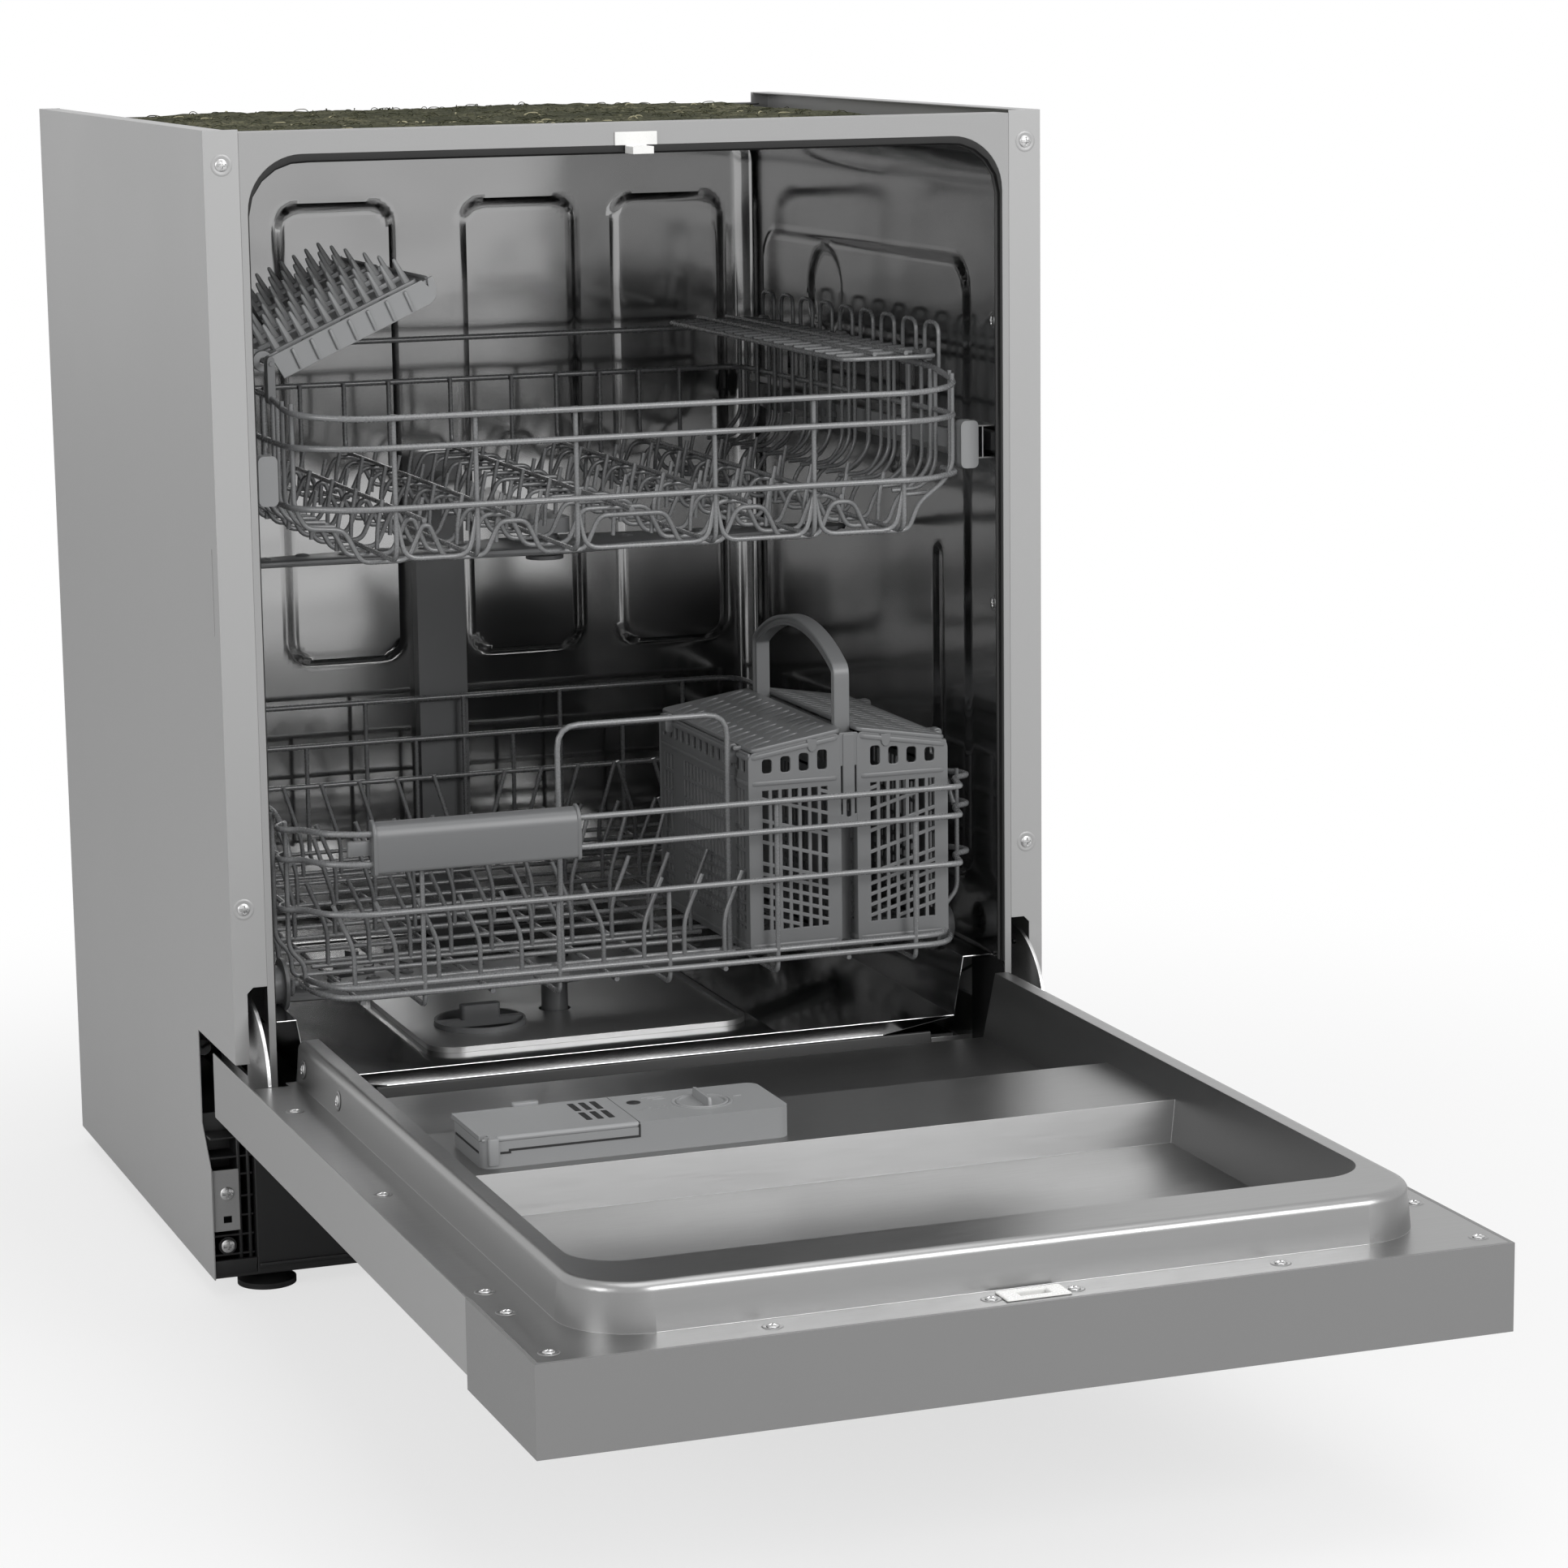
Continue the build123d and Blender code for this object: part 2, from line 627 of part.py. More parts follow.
def door_liner():
    """Deep-drawn stainless inner door: flange, raised rim, two-floor recess with a step."""
    wide, narrow = side_x - steel, side_x - fascia_wall + 0.3
    split = door_reach - fascia_length
    flange = along_z(outline(
        (-wide, -liner_end), (wide, -liner_end), (wide, -split), (narrow, -split),
        (narrow, -door_reach + fascia_wall), (-narrow, -door_reach + fascia_wall), (-narrow, -split),
        (-wide, -split),
    ), cavity_top, flange_z)
    liner = flange + rim_block(0, cavity_top) - rim_block(steel, cavity_top - 2)
    liner += pan_block(steel)
    liner -= pan_block(0)
    liner -= box(-side_x, side_x, -liner_end, 2 * door_tail + 80, 100, 300)
    for side in (-1, 1):
        slot = Pos(side * (tub_half + 0.5 + side_x) / 2, -21) * Rectangle(side_x - tub_half - 0.5, 42)
        liner -= along_z(slot, cavity_top - 1, flange_z + 1)
    liner -= along_z(Pos(0, latch_y) * Rectangle(2 * 15.3, 15.6), cavity_top - 1, flange_z + 1)
    liner -= along_z(dispenser_hole(0.2), step_z - 5, step_z + 5)
    return liner


def dispenser_hole(gap):
    """The opening in the step that the dispenser's housing passes through."""
    width = dispenser_right - dispenser_left - 14
    length = dispenser_front - dispenser_back - 14
    centre = ((dispenser_right + dispenser_left) / 2, -(dispenser_front + dispenser_back) / 2)
    return Pos(*centre) * RectangleRounded(width + 2 * gap, length + 2 * gap, 5)


def door_panel():
    """Painted outer panel: a sheet with upright edges, longer than the liner at the hinge end."""
    bottom = flange_z - panel_thickness
    front = -(door_reach - fascia_length)
    section = folded([
        (-side_x, flange_z), (-side_x, bottom), (side_x, bottom), (side_x, flange_z),
    ], steel)
    tail = box(-side_x, side_x, door_tail - steel, door_tail, bottom, bottom + 5)
    return along_y(section, front, door_tail) + tail


def fascia():
    """Control panel shell round the door's top edge, with the button holes in its face."""
    half = side_x + 0.3
    back = -(door_reach - fascia_length)
    low = flange_z - fascia_thickness
    shell = box(-half, half, -door_reach, back, low, flange_z)
    inner = side_x - fascia_wall + 0.3
    shell -= box(-inner, inner, -door_reach + fascia_wall, back, low + fascia_wall, flange_z)
    for x in (-button_x, button_x):
        shell -= rod((x, button_y, low - 1), (x, button_y, low + fascia_wall + 1), button_radius + running_gap)
    shell -= fillet(box(-75, 75, back - 22, back + 5, low - 1, low + 14).edges().filter_by(Axis.Z), 5)
    grip = box(-77.5, 77.5, back - 24.5, back, low, low + 16.5)
    grip -= fillet(box(-75, 75, back - 22, back + 5, low - 1, low + 14).edges().filter_by(Axis.Z), 5)
    return shell + grip


def push_button(side):
    """A round push button in the fascia's face, held by its collar."""
    low = flange_z - fascia_thickness
    x = side * button_x
    inside = low + fascia_wall
    cap = rod((x, button_y, low - 0.1), (x, button_y, inside + 6), button_radius)
    collar = rod((x, button_y, inside + slack), (x, button_y, inside + 6), button_radius + 2.5)
    return cap + collar


def control_board():
    """Flat housing of the electronics behind the fascia, with the switches over the buttons."""
    low = flange_z - fascia_thickness + fascia_wall + 6 + button_travel + slack
    case = box(-button_x - 20, button_x + 20, button_y - 18, button_y + 30, low + 4, low + 16)
    for side in (-1, 1):
        case += rod((side * button_x, button_y, low), (side * button_x, button_y, low + 4), 4)
        x = side * (button_x + 14)
        case += box(x - 3, x + 3, button_y - 15, button_y - 9, flange_z - fascia_thickness + fascia_wall, low + 4)
        case += box(x - 3, x + 3, button_y + 20, button_y + 26, flange_z - fascia_thickness + fascia_wall, low + 4)
    return case


def hinge_arms():
    """Door side of the hinge: an arm along the door's edge with the quarter-round cover."""
    arm = outline(
        (-300, 150), (hinge_y, hinge_z - 14), (hinge_y + 16, hinge_z - 12), (cover_y, cover_z - 4),
        (cover_y, flange_z), (cover_y - cover_radius, flange_z), (cover_y - cover_radius, cavity_top - 2),
        (-300, cavity_top - 2),
    )
    quarter = Pos(cover_y, cover_z) * Circle(cover_radius)
    keep = Pos(cover_y - 40, cover_z + 50) * Rectangle(80, 84)
    plate = along_x(arm + (quarter & keep), arm_x, arm_x + arm_thickness)
    bore = rod((arm_x - 1, hinge_y, hinge_z), (arm_x + 5, hinge_y, hinge_z), pin_radius + running_gap)
    eye = rod((arm_x - 1, cover_y - 7, hook_z), (arm_x + 5, cover_y - 7, hook_z), 2.2)
    foot = box(arm_x + arm_thickness, side_x - steel, -290, -60, 151, 153.5)
    return both_sides(plate - bore - eye + foot)


def latch_housing():
    """White latch in the door's flange with the pocket that takes the striker's nose."""
    cover = box(-20, 20, latch_y - 9.5, latch_y + 9.5, flange_z, flange_z + 1.2)
    body = box(-15, 15, latch_y - 7.5, latch_y + 7.5, flange_z - 24, flange_z)
    pocket = box(-9, 9, latch_y - 4, latch_y + 4, flange_z - 18, flange_z + 5)
    return cover + body - pocket


def dispenser_body():
    """Detergent and rinse-aid dispenser: housing through the step, cup and hinge groove under the lid."""
    top = step_z + dispenser_height
    centre_y = -(dispenser_front + dispenser_back) / 2
    length = dispenser_front - dispenser_back
    middle = Pos((dispenser_right + dispenser_left) / 2, centre_y)
    face = middle * RectangleRounded(dispenser_right - dispenser_left, length, 8)
    housing = along_z(dispenser_hole(0), step_z - 42, step_z) + along_z(face, step_z, top)
    left = dispenser_left - 1
    right = lid_split + slack
    recess = top - lid_thickness - slack
    groove_y = -dispenser_front + hinge_bar + 0.5
    housing -= box(left, right, groove_y, -dispenser_back + 1, recess, top)
    housing -= box(dispenser_left + lid_post, right, -dispenser_front - 1, groove_y, recess, top)
    housing -= rod((dispenser_left + lid_post, groove_y, top - hinge_bar), (right, groove_y, top - hinge_bar),
                   hinge_bar + slack)
    housing += rod((dispenser_left + 1, groove_y, top - hinge_bar),
                   (dispenser_left + lid_post + 6, groove_y, top - hinge_bar), 1)
    cup = Pos((left + right) / 2, centre_y) * RectangleRounded(right - left - 18, length - 24, 6)
    housing -= along_z(cup, top - cup_depth, top)
    cap = Pos(cap_x, centre_y)
    housing -= along_z(cap * Circle(cap_radius + running_gap), top - 5, top)
    return housing - along_z(cap * Circle(9), top - 14, top)


def dispenser_lid():
    """Swinging lid over the detergent cup: a hinge bar along its front and a catch tab behind."""
    top = step_z + dispenser_height
    left = dispenser_left + lid_post + slack
    right = lid_split - slack
    bar_y = -dispenser_front + hinge_bar + 0.5
    plate = box(left, right, bar_y, -dispenser_back, top - lid_thickness, top)
    ear = box(dispenser_left, left, bar_y + hinge_bar + 1, -dispenser_back, top - lid_thickness, top)
    bar = rod((left, bar_y, top - hinge_bar), (right, bar_y, top - hinge_bar), hinge_bar)
    bore = rod((left - 1, bar_y, top - hinge_bar), (left + 7, bar_y, top - hinge_bar), 1 + running_gap)
    tab = box(dispenser_left + 42, dispenser_left + 56, -dispenser_back, -dispenser_back + 4, top - lid_thickness, top)
    return plate + ear + bar + tab - bore


def rinse_aid_cap():
    """Round cap with a grip bar across it."""
    top = step_z + dispenser_height
    centre = Pos(cap_x, -(dispenser_front + dispenser_back) / 2)
    disc = along_z(centre * Circle(cap_radius), top - 4.6, top - 1)
    plug = along_z(centre * Circle(9 - slack), top - 13, top - 4.6)
    bar = along_z(centre * RectangleRounded(2 * cap_radius - 6, 6, 2), top - 1, top + 2.8)
    return disc + plug + bar


# Lower basket

def front_wire(straight, front, z, corner, inside):
    """A front wire: a straight middle and two bent ends that reach back to the side walls."""
    pieces = [box(-straight, straight, front - wire / 2, front + wire / 2, z - wire / 2, z + wire / 2)]
    for side in (-1, 1):
        bend = [(side * (straight - 8), front)] + [(side * x, front + back) for x, back in corner]
        face = trace(Polyline(*bend), wire)
        face -= Pos(0, front) * Rectangle(2 * straight, 3 * wire)
        face -= Pos(0, front + 250 + corner[0][1]) * Rectangle(2 * inside, 500)
        pieces.append(along_z(face, z - wire / 2, z + wire / 2))
    return pieces


def lower_basket():
    """Coated wire basket: flat wire panels, kinked front wires, hoops, tines, wheel axles."""
    front, back = lower_front_y, lower_front_y + lower_depth
    low, top = lower_floor_z, lower_floor_z + wire
    middle = (front + back) / 2
    shift = 2.2 + wire / 2
    half = lower_half
    floor_front, floor_back = front + wire / 2, back
    length = floor_back - floor_front
    hoops = [half * share for share in (-0.68, -0.28, 0.054, 0.387, 0.82)]
    between = [half * share for share in (-0.482, -0.111, 0.222, 0.605)]
    floor = Pos(0, (floor_front + floor_back) / 2) * grid(
        2 * half, length, [-half + wire / 2, *hoops, *between, half - wire / 2],
        spread(-length / 2 + wire / 2, length / 2 - wire / 2, 10), wire)
    for side in (-1, 1):
        floor -= Pos(side * (half + 10), front) * Rectangle(36, 40)
    pieces = [along_z(floor, low, top)]
    wall_front = front + 46
    wall_length = back - wall_front
    height = lower_wall_top - top
    wall = grid(wall_length, height, spread(-wall_length / 2 + wire / 2, wall_length / 2 - wire / 2, 9),
                [height / 2 - wire / 2, height / 2 - 27, height / 2 - 62], wire)
    for x in (-half, half - wire):
        pieces.append(along_x(Pos((wall_front + back) / 2, top + height / 2) * wall, x, x + wire))
    rear = grid(2 * half - 2 * wire, height, spread(-half + wire * 1.5, half - wire * 1.5, 8),
                [height / 2 - wire / 2, height / 2 - 52], wire)
    pieces.append(along_y(Pos(0, top + height / 2) * rear, back - wire, back))
    corner = [(half - 9.9, 0), (half - 1.9, 35), (half + 14.7, 40), (half + 14.7, 51), (half - 4, 61)]
    for z in lower_wires_z:
        pieces += front_wire(half - 16.9, front, z, corner, half)
    post_y = front + wire / 2
    for x, level in zip(hoops, (1, 2, 2, 0, 1)):
        high = lower_wires_z[level]
        pieces.append(box(x - 2.2, x + 2.2, post_y, post_y + wire, top, high + 2.2))
        pieces.append(box(x - 2.2, x + 2.2, post_y, post_y + 64, low - wire - 6, low - 6))
        pieces.append(box(x - 2.2, x + 2.2, post_y, post_y + wire, low - 6, low))
        pieces.append(box(x - 2.2, x + 2.2, post_y + 64 - wire, post_y + 64, low - 6, low))
    loop_y = front + 36
    loop_right = cutlery_left - 6
    loop_left = loop_right - 130
    loop_top = lower_wall_top + 50
    pieces.append(box(loop_left, loop_left + wire, loop_y, loop_y + wire, top, loop_top))
    pieces.append(box(loop_right - wire, loop_right, loop_y, loop_y + wire, top, loop_top))
    pieces.append(box(loop_left, loop_right, loop_y, loop_y + wire, loop_top, loop_top + wire))
    for row, tall in ((95, 62), (190, 74), (300, 62), (400, 74)):
        for x in spread(33 - half, cutlery_left - 18 if row < 210 else half - 33, 10 if row < 210 else 15):
            tine = extrude(Pos(x, front + row, top) * Rectangle(wire, wire), amount=tall, dir=(-0.16, 0, 1))
            pieces.append(tine)
    for place in wheel_places:
        y = front + place
        z = ledge_top + wheel_radius + wheel_lift
        for side in (-1, 1):
            inner, outer = sorted((side * (half - 4), side * (half - 1)))
            pieces.append(box(inner, outer, y - 9, y + 9, z - 9, low))
            pieces.append(rod((side * (half - 1), y, z), (side * (half + 15.1), y, z), 3))
    return group(*pieces)


def basket_grip():
    """Plastic grip clipped over the two upper front wires."""
    front = lower_front_y
    section = folded([
        (front + 6, 351.5), (front - 5.5, 351.5), (front - 5.5, 316.5), (front + 2, 316.5),
    ], 2.2)
    return along_x(section, -lower_half + 41.9, -53)


def wheel_pair(place):
    """Left and right basket wheels of one axle line: tread outside, guide flange inside."""
    y = lower_front_y + place
    z = ledge_top + wheel_radius + wheel_lift
    bore = 3 + running_gap
    x = lower_half + 0.6
    section = outline(
        (x, bore), (x, wheel_flange_radius), (x + 2.8, wheel_flange_radius), (x + 2.8, wheel_radius),
        (x + 15.5, wheel_radius), (x + 15.5, wheel_radius - 2), (x + 5.5, wheel_radius - 2), (x + 5.5, 6),
        (x + 12.5, 6), (x + 12.5, bore),
    )
    turned = revolve(section, axis=Axis.X)
    spokes = [Rot(n * 45, 0, 0) * box(x + 5.5, x + 13.5, -0.6, 0.6, 5.5, wheel_radius - 1) for n in range(8)]
    return both_sides(Pos(0, y, z) * (turned + spokes))


# Cutlery basket

def slotted(width, height, columns, slot_width, slot_height, slot_z, windows):
    """A flat wall with a row of slots low down and, above them, a row of rounded windows."""
    wall = Pos(0, height / 2) * Rectangle(width, height)
    for x in columns:
        wall -= Pos(x, slot_z + slot_height / 2) * Rectangle(slot_width, slot_height)
    for x in windows:
        wall -= Pos(x, height - 22) * Rectangle(10, 18)
    return wall


def cutlery_basket():
    """Two open-topped halves with lattice walls, a channel between them and an arched handle."""
    y0 = lower_front_y + cutlery_setback
    y1 = y0 + cutlery_length
    z0 = lower_floor_z + wire + slack
    t = cutlery_wall
    height = cutlery_height - 3 - slack
    pieces = []
    for left in (cutlery_left, cutlery_left + cutlery_half_width + cutlery_channel):
        right = left + cutlery_half_width
        middle = (left + right) / 2
        end = slotted(cutlery_half_width, height, spread(-26, 26, 5), 7, 84, 14, spread(-25, 25, 4))
        side = slotted(cutlery_length - 2 * t, height, spread(-86, 86, 12), 10, 84, 14, spread(-84, 84, 9))
        for y in (y0, y1 - t):
            pieces.append(along_y(Pos(middle, z0) * end, y, y + t))
        for x in (left, right - t):
            pieces.append(along_x(Pos((y0 + y1) / 2, z0) * side, x, x + t))
        pieces.append(box(left + t, right - t, y0 + t, y1 - t, z0, z0 + t))
    x0 = cutlery_left + cutlery_half_width
    pieces.append(box(x0, x0 + cutlery_channel, y0 + 4, y1 - 4, z0 + 20, z0 + 23))
    rim = z0 + height
    for edge, side in ((cutlery_left, -1), (x0 + cutlery_channel + cutlery_half_width, 1)):
        for y in lid_hinge_places():
            face = Pos(edge - side * t / 2, rim - 4.5) * Rectangle(t, 9)
            face += Pos(edge + side * 2.7, rim - 2.6) * Rectangle(5.4, 12.8)
            face -= Pos(edge + side * lid_pin_out, rim + slack + 1.5) * Circle(lid_pin + running_gap)
            pieces.append(along_y(face, y - 4, y + 4))
    return group(*pieces)


def lid_hinge_places():
    """Where along a cutlery lid its two hinges sit."""
    y0 = lower_front_y + cutlery_setback
    return y0 + 28, y0 + cutlery_length - 28


def cutlery_handle():
    """Arched handle in the channel between the cutlery basket's halves."""
    middle = lower_front_y + cutlery_setback + cutlery_length / 2
    foot = lower_floor_z + wire + slack + 23
    arch_z = lower_floor_z + wire + cutlery_height - 17
    span = cutlery_length / 2 - 12
    rise = upper_arm_z - 400
    arch = Pos(middle, arch_z) * (Ellipse(span, rise) - Ellipse(span - 9, rise - 8))
    arch -= Pos(middle, arch_z - 100) * Rectangle(400, 200)
    for side in (-1, 1):
        arch += Pos(middle + side * (span - 4.5), (arch_z + foot) / 2) * Rectangle(9, arch_z - foot)
    x0 = cutlery_left + cutlery_half_width
    return along_x(arch, x0 + slack, x0 + cutlery_channel - slack)


def cutlery_lid(number):
    """Hinged grid lid of one half, with rows of slots and two hinge knuckles outside."""
    y0 = lower_front_y + cutlery_setback
    left = cutlery_left + number * (cutlery_half_width + cutlery_channel)
    right = left + cutlery_half_width
    z0 = lower_floor_z + wire + slack + cutlery_height - 3
    plate = Pos((left + right) / 2, y0 + cutlery_length / 2) * Rectangle(cutlery_half_width, cutlery_length)
    for n, x in enumerate(spread(left + 12, right - 12, 4)):
        for y in spread(y0 + 16, y0 + cutlery_length - 16, 9):
            plate -= Pos(x, y + (6 if n % 2 else 0) - 3) * RegularPolygon(6.2, 6)
    side = 1 if number else -1
    edge = right if number else left
    lid = along_z(plate, z0, z0 + 3)
    pin_x = edge + side * lid_pin_out
    for y in lid_hinge_places():
        lid -= box(edge - 1.5, edge + 1.5, y - 5, y + 5, z0 - 1, z0 + 4)
        lid += rod((pin_x, y - 8, z0 + 1.5), (pin_x, y + 8, z0 + 1.5), lid_pin)
        for ear in (y - 8, y + 5):
            lid += box(min(pin_x, edge - side), max(pin_x, edge - side), ear, ear + 3, z0, z0 + 3)
    return lid


# Upper basket

def upper_basket():
    """Coated wire basket: flat wire panels, front wires with slanted corners, raised rows, rail hangers."""
    front, back = upper_front_y, upper_front_y + upper_depth
    low, top = upper_floor_z, upper_floor_z + wire
    half = upper_half
    floor_front = front + wire / 2
    length = back - floor_front
    narrow = half - 39.2
    ups = [side * narrow * share for side in (-1, 1) for share in (0.097, 0.3, 0.515, 0.728, 0.942)]
    bars = grid(2 * half, length, [-half + wire / 2, *ups, half - wire / 2],
                spread(-length / 2 + 34, length / 2 - wire / 2, 10), wire)
    floor = Pos(0, (floor_front + back) / 2) * bars
    corner = Pos(0, floor_front + 14) * Rectangle(2 * half + 2, 28) - Pos(0, floor_front + 14) * Rectangle(2 * narrow, 28)
    floor -= corner
    floor += Pos(0, floor_front + wire / 2) * Rectangle(2 * narrow, wire)
    pieces = [along_z(floor, low, top)]
    wall_front = front + 28
    wall_length = back - wall_front
    height = upper_wall_top - top
    wall = grid(wall_length, height, spread(-wall_length / 2 + wire / 2, wall_length / 2 - wire / 2, 10),
                [height / 2 - wire / 2, height / 2 - 33], wire)
    for x in (-half, half - wire):
        pieces.append(along_x(Pos((wall_front + back) / 2, top + height / 2) * wall, x, x + wire))
    rear = grid(2 * half - 2 * wire, height, spread(-half + wire * 1.5, half - wire * 1.5, 7),
                [height / 2 - wire / 2, height / 2 - 50], wire)
    pieces.append(along_y(Pos(0, top + height / 2) * rear, back - wire, back))
    for z in upper_wires_z:
        pieces += front_wire(narrow, front, z, [(narrow + 2, 0), (half - 2.2, 28)], half)
    post_y = front + wire / 2
    for x in [narrow * share for share in (-0.859, -0.587, -0.243, 0.243, 0.597, 0.922)]:
        pieces.append(box(x - 2.2, x + 2.2, post_y, post_y + wire, top, upper_wires_z[0] + 2.2))
    for row in (150, 280, 410):
        for x in spread(6 - narrow, narrow - 6, 9):
            tine = extrude(Pos(x, front + row, top) * Rectangle(wire, wire), amount=34, dir=(0.12, 0, 1))
            pieces.append(tine)
    for side in (-1, 1):
        for y in (front + 272, front + 400):
            inner, outer = sorted((side * half, side * (rail_web_x - slack)))
            pieces.append(box(inner, outer, y, y + 42, rail_z - 8, rail_z + 8))
    for y in shelf_clips:
        clip = box(half - wire, half, y - 5, y + 5, upper_wall_top, upper_wall_top + 10)
        pieces.append(clip - rod((shelf_x, y - 6, shelf_z), (shelf_x, y + 6, shelf_z), 1.5 + running_gap))
    for y in (front + 80, front + 210, front + 340):
        post = box(-half, -half + wire, y - 5, y + 5, upper_wall_top, tray_z + 5)
        pieces.append(post - rod((tray_x, y - 6, tray_z), (tray_x, y + 6, tray_z), 1.5 + running_gap))
    return group(*pieces)


def cup_shelf():
    """Fold-down wire shelf on the right side wall, hung on a rod."""
    front = upper_front_y
    y0, y1 = front + 70, front + 450
    width = 75.0
    mesh = Pos(shelf_x - width / 2, (y0 + y1) / 2) * grid(
        width, y1 - y0, [-width / 2 + 1.6, -width / 6, width / 6],
        spread(-(y1 - y0) / 2 + 1.6, (y1 - y0) / 2 - 1.6, 14), 3.2)
    for y in shelf_clips:
        mesh -= Pos(shelf_x, y) * Rectangle(14, 14)
    pivot = rod((shelf_x, y0, shelf_z), (shelf_x, y1, shelf_z), 1.5)
    return along_z(mesh, shelf_z - 1.6, shelf_z + 1.6) + pivot


def tine_tray():
    """Folding plastic tray in two sections with rows of tines, hung over the left side wall."""
    front = upper_front_y
    plates = []
    for y0 in (front + 88, front + 218):
        y1 = y0 + 114
        base = Pos(tray_x + 67, (y0 + y1) / 2) * (
            Rectangle(122, y1 - y0) - [Pos(x, 0) * Rectangle(16, y1 - y0 - 20) for x in spread(-44, 44, 5)])
        plates.append(along_z(base, tray_z - 3, tray_z + 3))
        plates.append(box(tray_x + 122, tray_x + 128, y0, y1, tray_z - 12, tray_z - 3))
        for x in spread(tray_x + 34, tray_x + 100, 4):
            for y in spread(y0 + 5, y1 - 5, 6):
                plates.append(box(x - 2, x + 2, y - 2, y + 2, tray_z + 3, tray_z + 22))
        plates.append(box(tray_x - 1, tray_x + 6, y0 + 30, y1 - 30, tray_z - 1.5, tray_z + 1.5))
    pivot = rod((tray_x, front + 74, tray_z), (tray_x, front + 346, tray_z), 1.5)
    flat = pivot
    for plate in plates:
        flat += plate
    return Pos(tray_x, 0, tray_z) * Rot(0, -tray_tilt, 0) * Pos(-tray_x, 0, -tray_z) * flat


def upper_arm_feed():
    """Plastic feed tube under the upper basket with the upper arm's bearing post."""
    y1 = upper_front_y + upper_depth + feed_overhang
    top = upper_floor_z
    centre_y = arm_centre_y
    tube = Pos(0, (centre_y - 16 + y1) / 2) * RectangleRounded(34, y1 - centre_y + 16, 8)
    duct = along_z(tube, top - 11, top)
    post = rod((0, centre_y, top - 11), (0, centre_y, upper_arm_z - 2), post_radius)
    nut = rod((0, centre_y, upper_arm_z - 2), (0, centre_y, upper_arm_z - 5), post_radius + 4)
    return duct + post + nut


def spray_arm(radius, z, height):
    """A long hollow-looking arm, wide at its hub, with nozzle holes and a bearing ring."""
    blade = make_hull([
        *Circle(30).edges(), *(Pos(radius - 13, 10) * Circle(13)).edges(),
    ])
    other = make_hull([
        *Circle(30).edges(), *(Pos(-radius + 13, -10) * Circle(13)).edges(),
    ])
    face = blade + other
    for n in range(6):
        x = radius * (0.28 + 0.12 * n)
        face -= Pos(x, 4 + n) * RegularPolygon(2.5, 6)
        face -= Pos(-x, -4 - n) * RegularPolygon(2.5, 6)
    arm = along_z(face, z, z + height)
    arm += along_z(Circle(20), z - 1, z + height + 1)
    arm -= along_z(Circle(post_radius + running_gap), z - 2, z + height + 2)
    return Pos(0, arm_centre_y, 0) * arm


nodes = {
    "left_side_panel": side_panel(),
    "right_side_panel": mirror(side_panel(), about=Plane.YZ),
    "front_frame": front_frame(),
    "rear_panel": rear_panel(),
    "rear_cross_member": rear_cross_member(),
    "insulation_blanket": insulation_blanket(),
    "latch_striker": latch_striker(),
    "tub_wrap": tub_wrap(),
    "tub_back": tub_back(),
    "tub_bottom": tub_bottom(),
    "door_gasket": door_gasket(),
    "bottom_seal": bottom_seal(),
    "sump": sump(),
    "filter_plate": filter_plate(),
    "filter_cylinder": filter_cylinder(),
    "float_cap": float_cap(),
    "softener_cap": softener_cap(),
    "softener": softener(),
    "feed_pipe": feed_pipe(),
    "rail_channels": rail_channels(),
    "moving_rails": moving_rails(),
    "base_tray": base_tray(),
    "base_brackets": base_brackets(),
    "front_foot_left": adjustable_foot(-1),
    "front_foot_right": adjustable_foot(1),
    "rear_feet": rear_feet(),
    "wash_pump": wash_pump(),
    "drain_pump": drain_pump(),
    "inlet_valve": inlet_valve(),
    "counterweight": counterweight(),
    "hinge_brackets": hinge_brackets(),
    "hinge_springs": hinge_springs(),
    "door_liner": door_liner(),
    "door_panel": door_panel(),
    "fascia": fascia(),
    "power_button": push_button(-1),
    "start_button": push_button(1),
    "control_board": control_board(),
    "hinge_arms": hinge_arms(),
    "latch_housing": latch_housing(),
    "dispenser_body": dispenser_body(),
    "dispenser_lid": dispenser_lid(),
    "rinse_aid_cap": rinse_aid_cap(),
    "lower_basket": lower_basket(),
    "basket_grip": basket_grip(),
    "wheels_first": wheel_pair(wheel_places[0]),
    "wheels_second": wheel_pair(wheel_places[1]),
    "wheels_third": wheel_pair(wheel_places[2]),
    "wheels_fourth": wheel_pair(wheel_places[3]),
    "cutlery_basket": cutlery_basket(),
    "cutlery_handle": cutlery_handle(),
    "cutlery_lid_left": cutlery_lid(0),
    "cutlery_lid_right": cutlery_lid(1),
    "upper_basket": upper_basket(),
    "cup_shelf": cup_shelf(),
    "tine_tray": tine_tray(),
    "upper_arm_feed": upper_arm_feed(),
    "upper_spray_arm": spray_arm(upper_arm_radius, upper_arm_z, 9.0),
    "lower_spray_arm": spray_arm(lower_arm_radius, lower_arm_z, 16.0),
}

os.makedirs("parts", exist_ok=True)
to_middle = Pos(0, (door_reach - cabinet_depth) / 2, 0)
for name, shape in nodes.items():
    export_step(to_middle * shape, f"parts/{name}.step")
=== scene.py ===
"""Looks for a built-under dishwasher with its door open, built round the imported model."""
import json
import math
import random

import bmesh
import bpy
from mathutils import Matrix, Vector
from mathutils.noise import noise


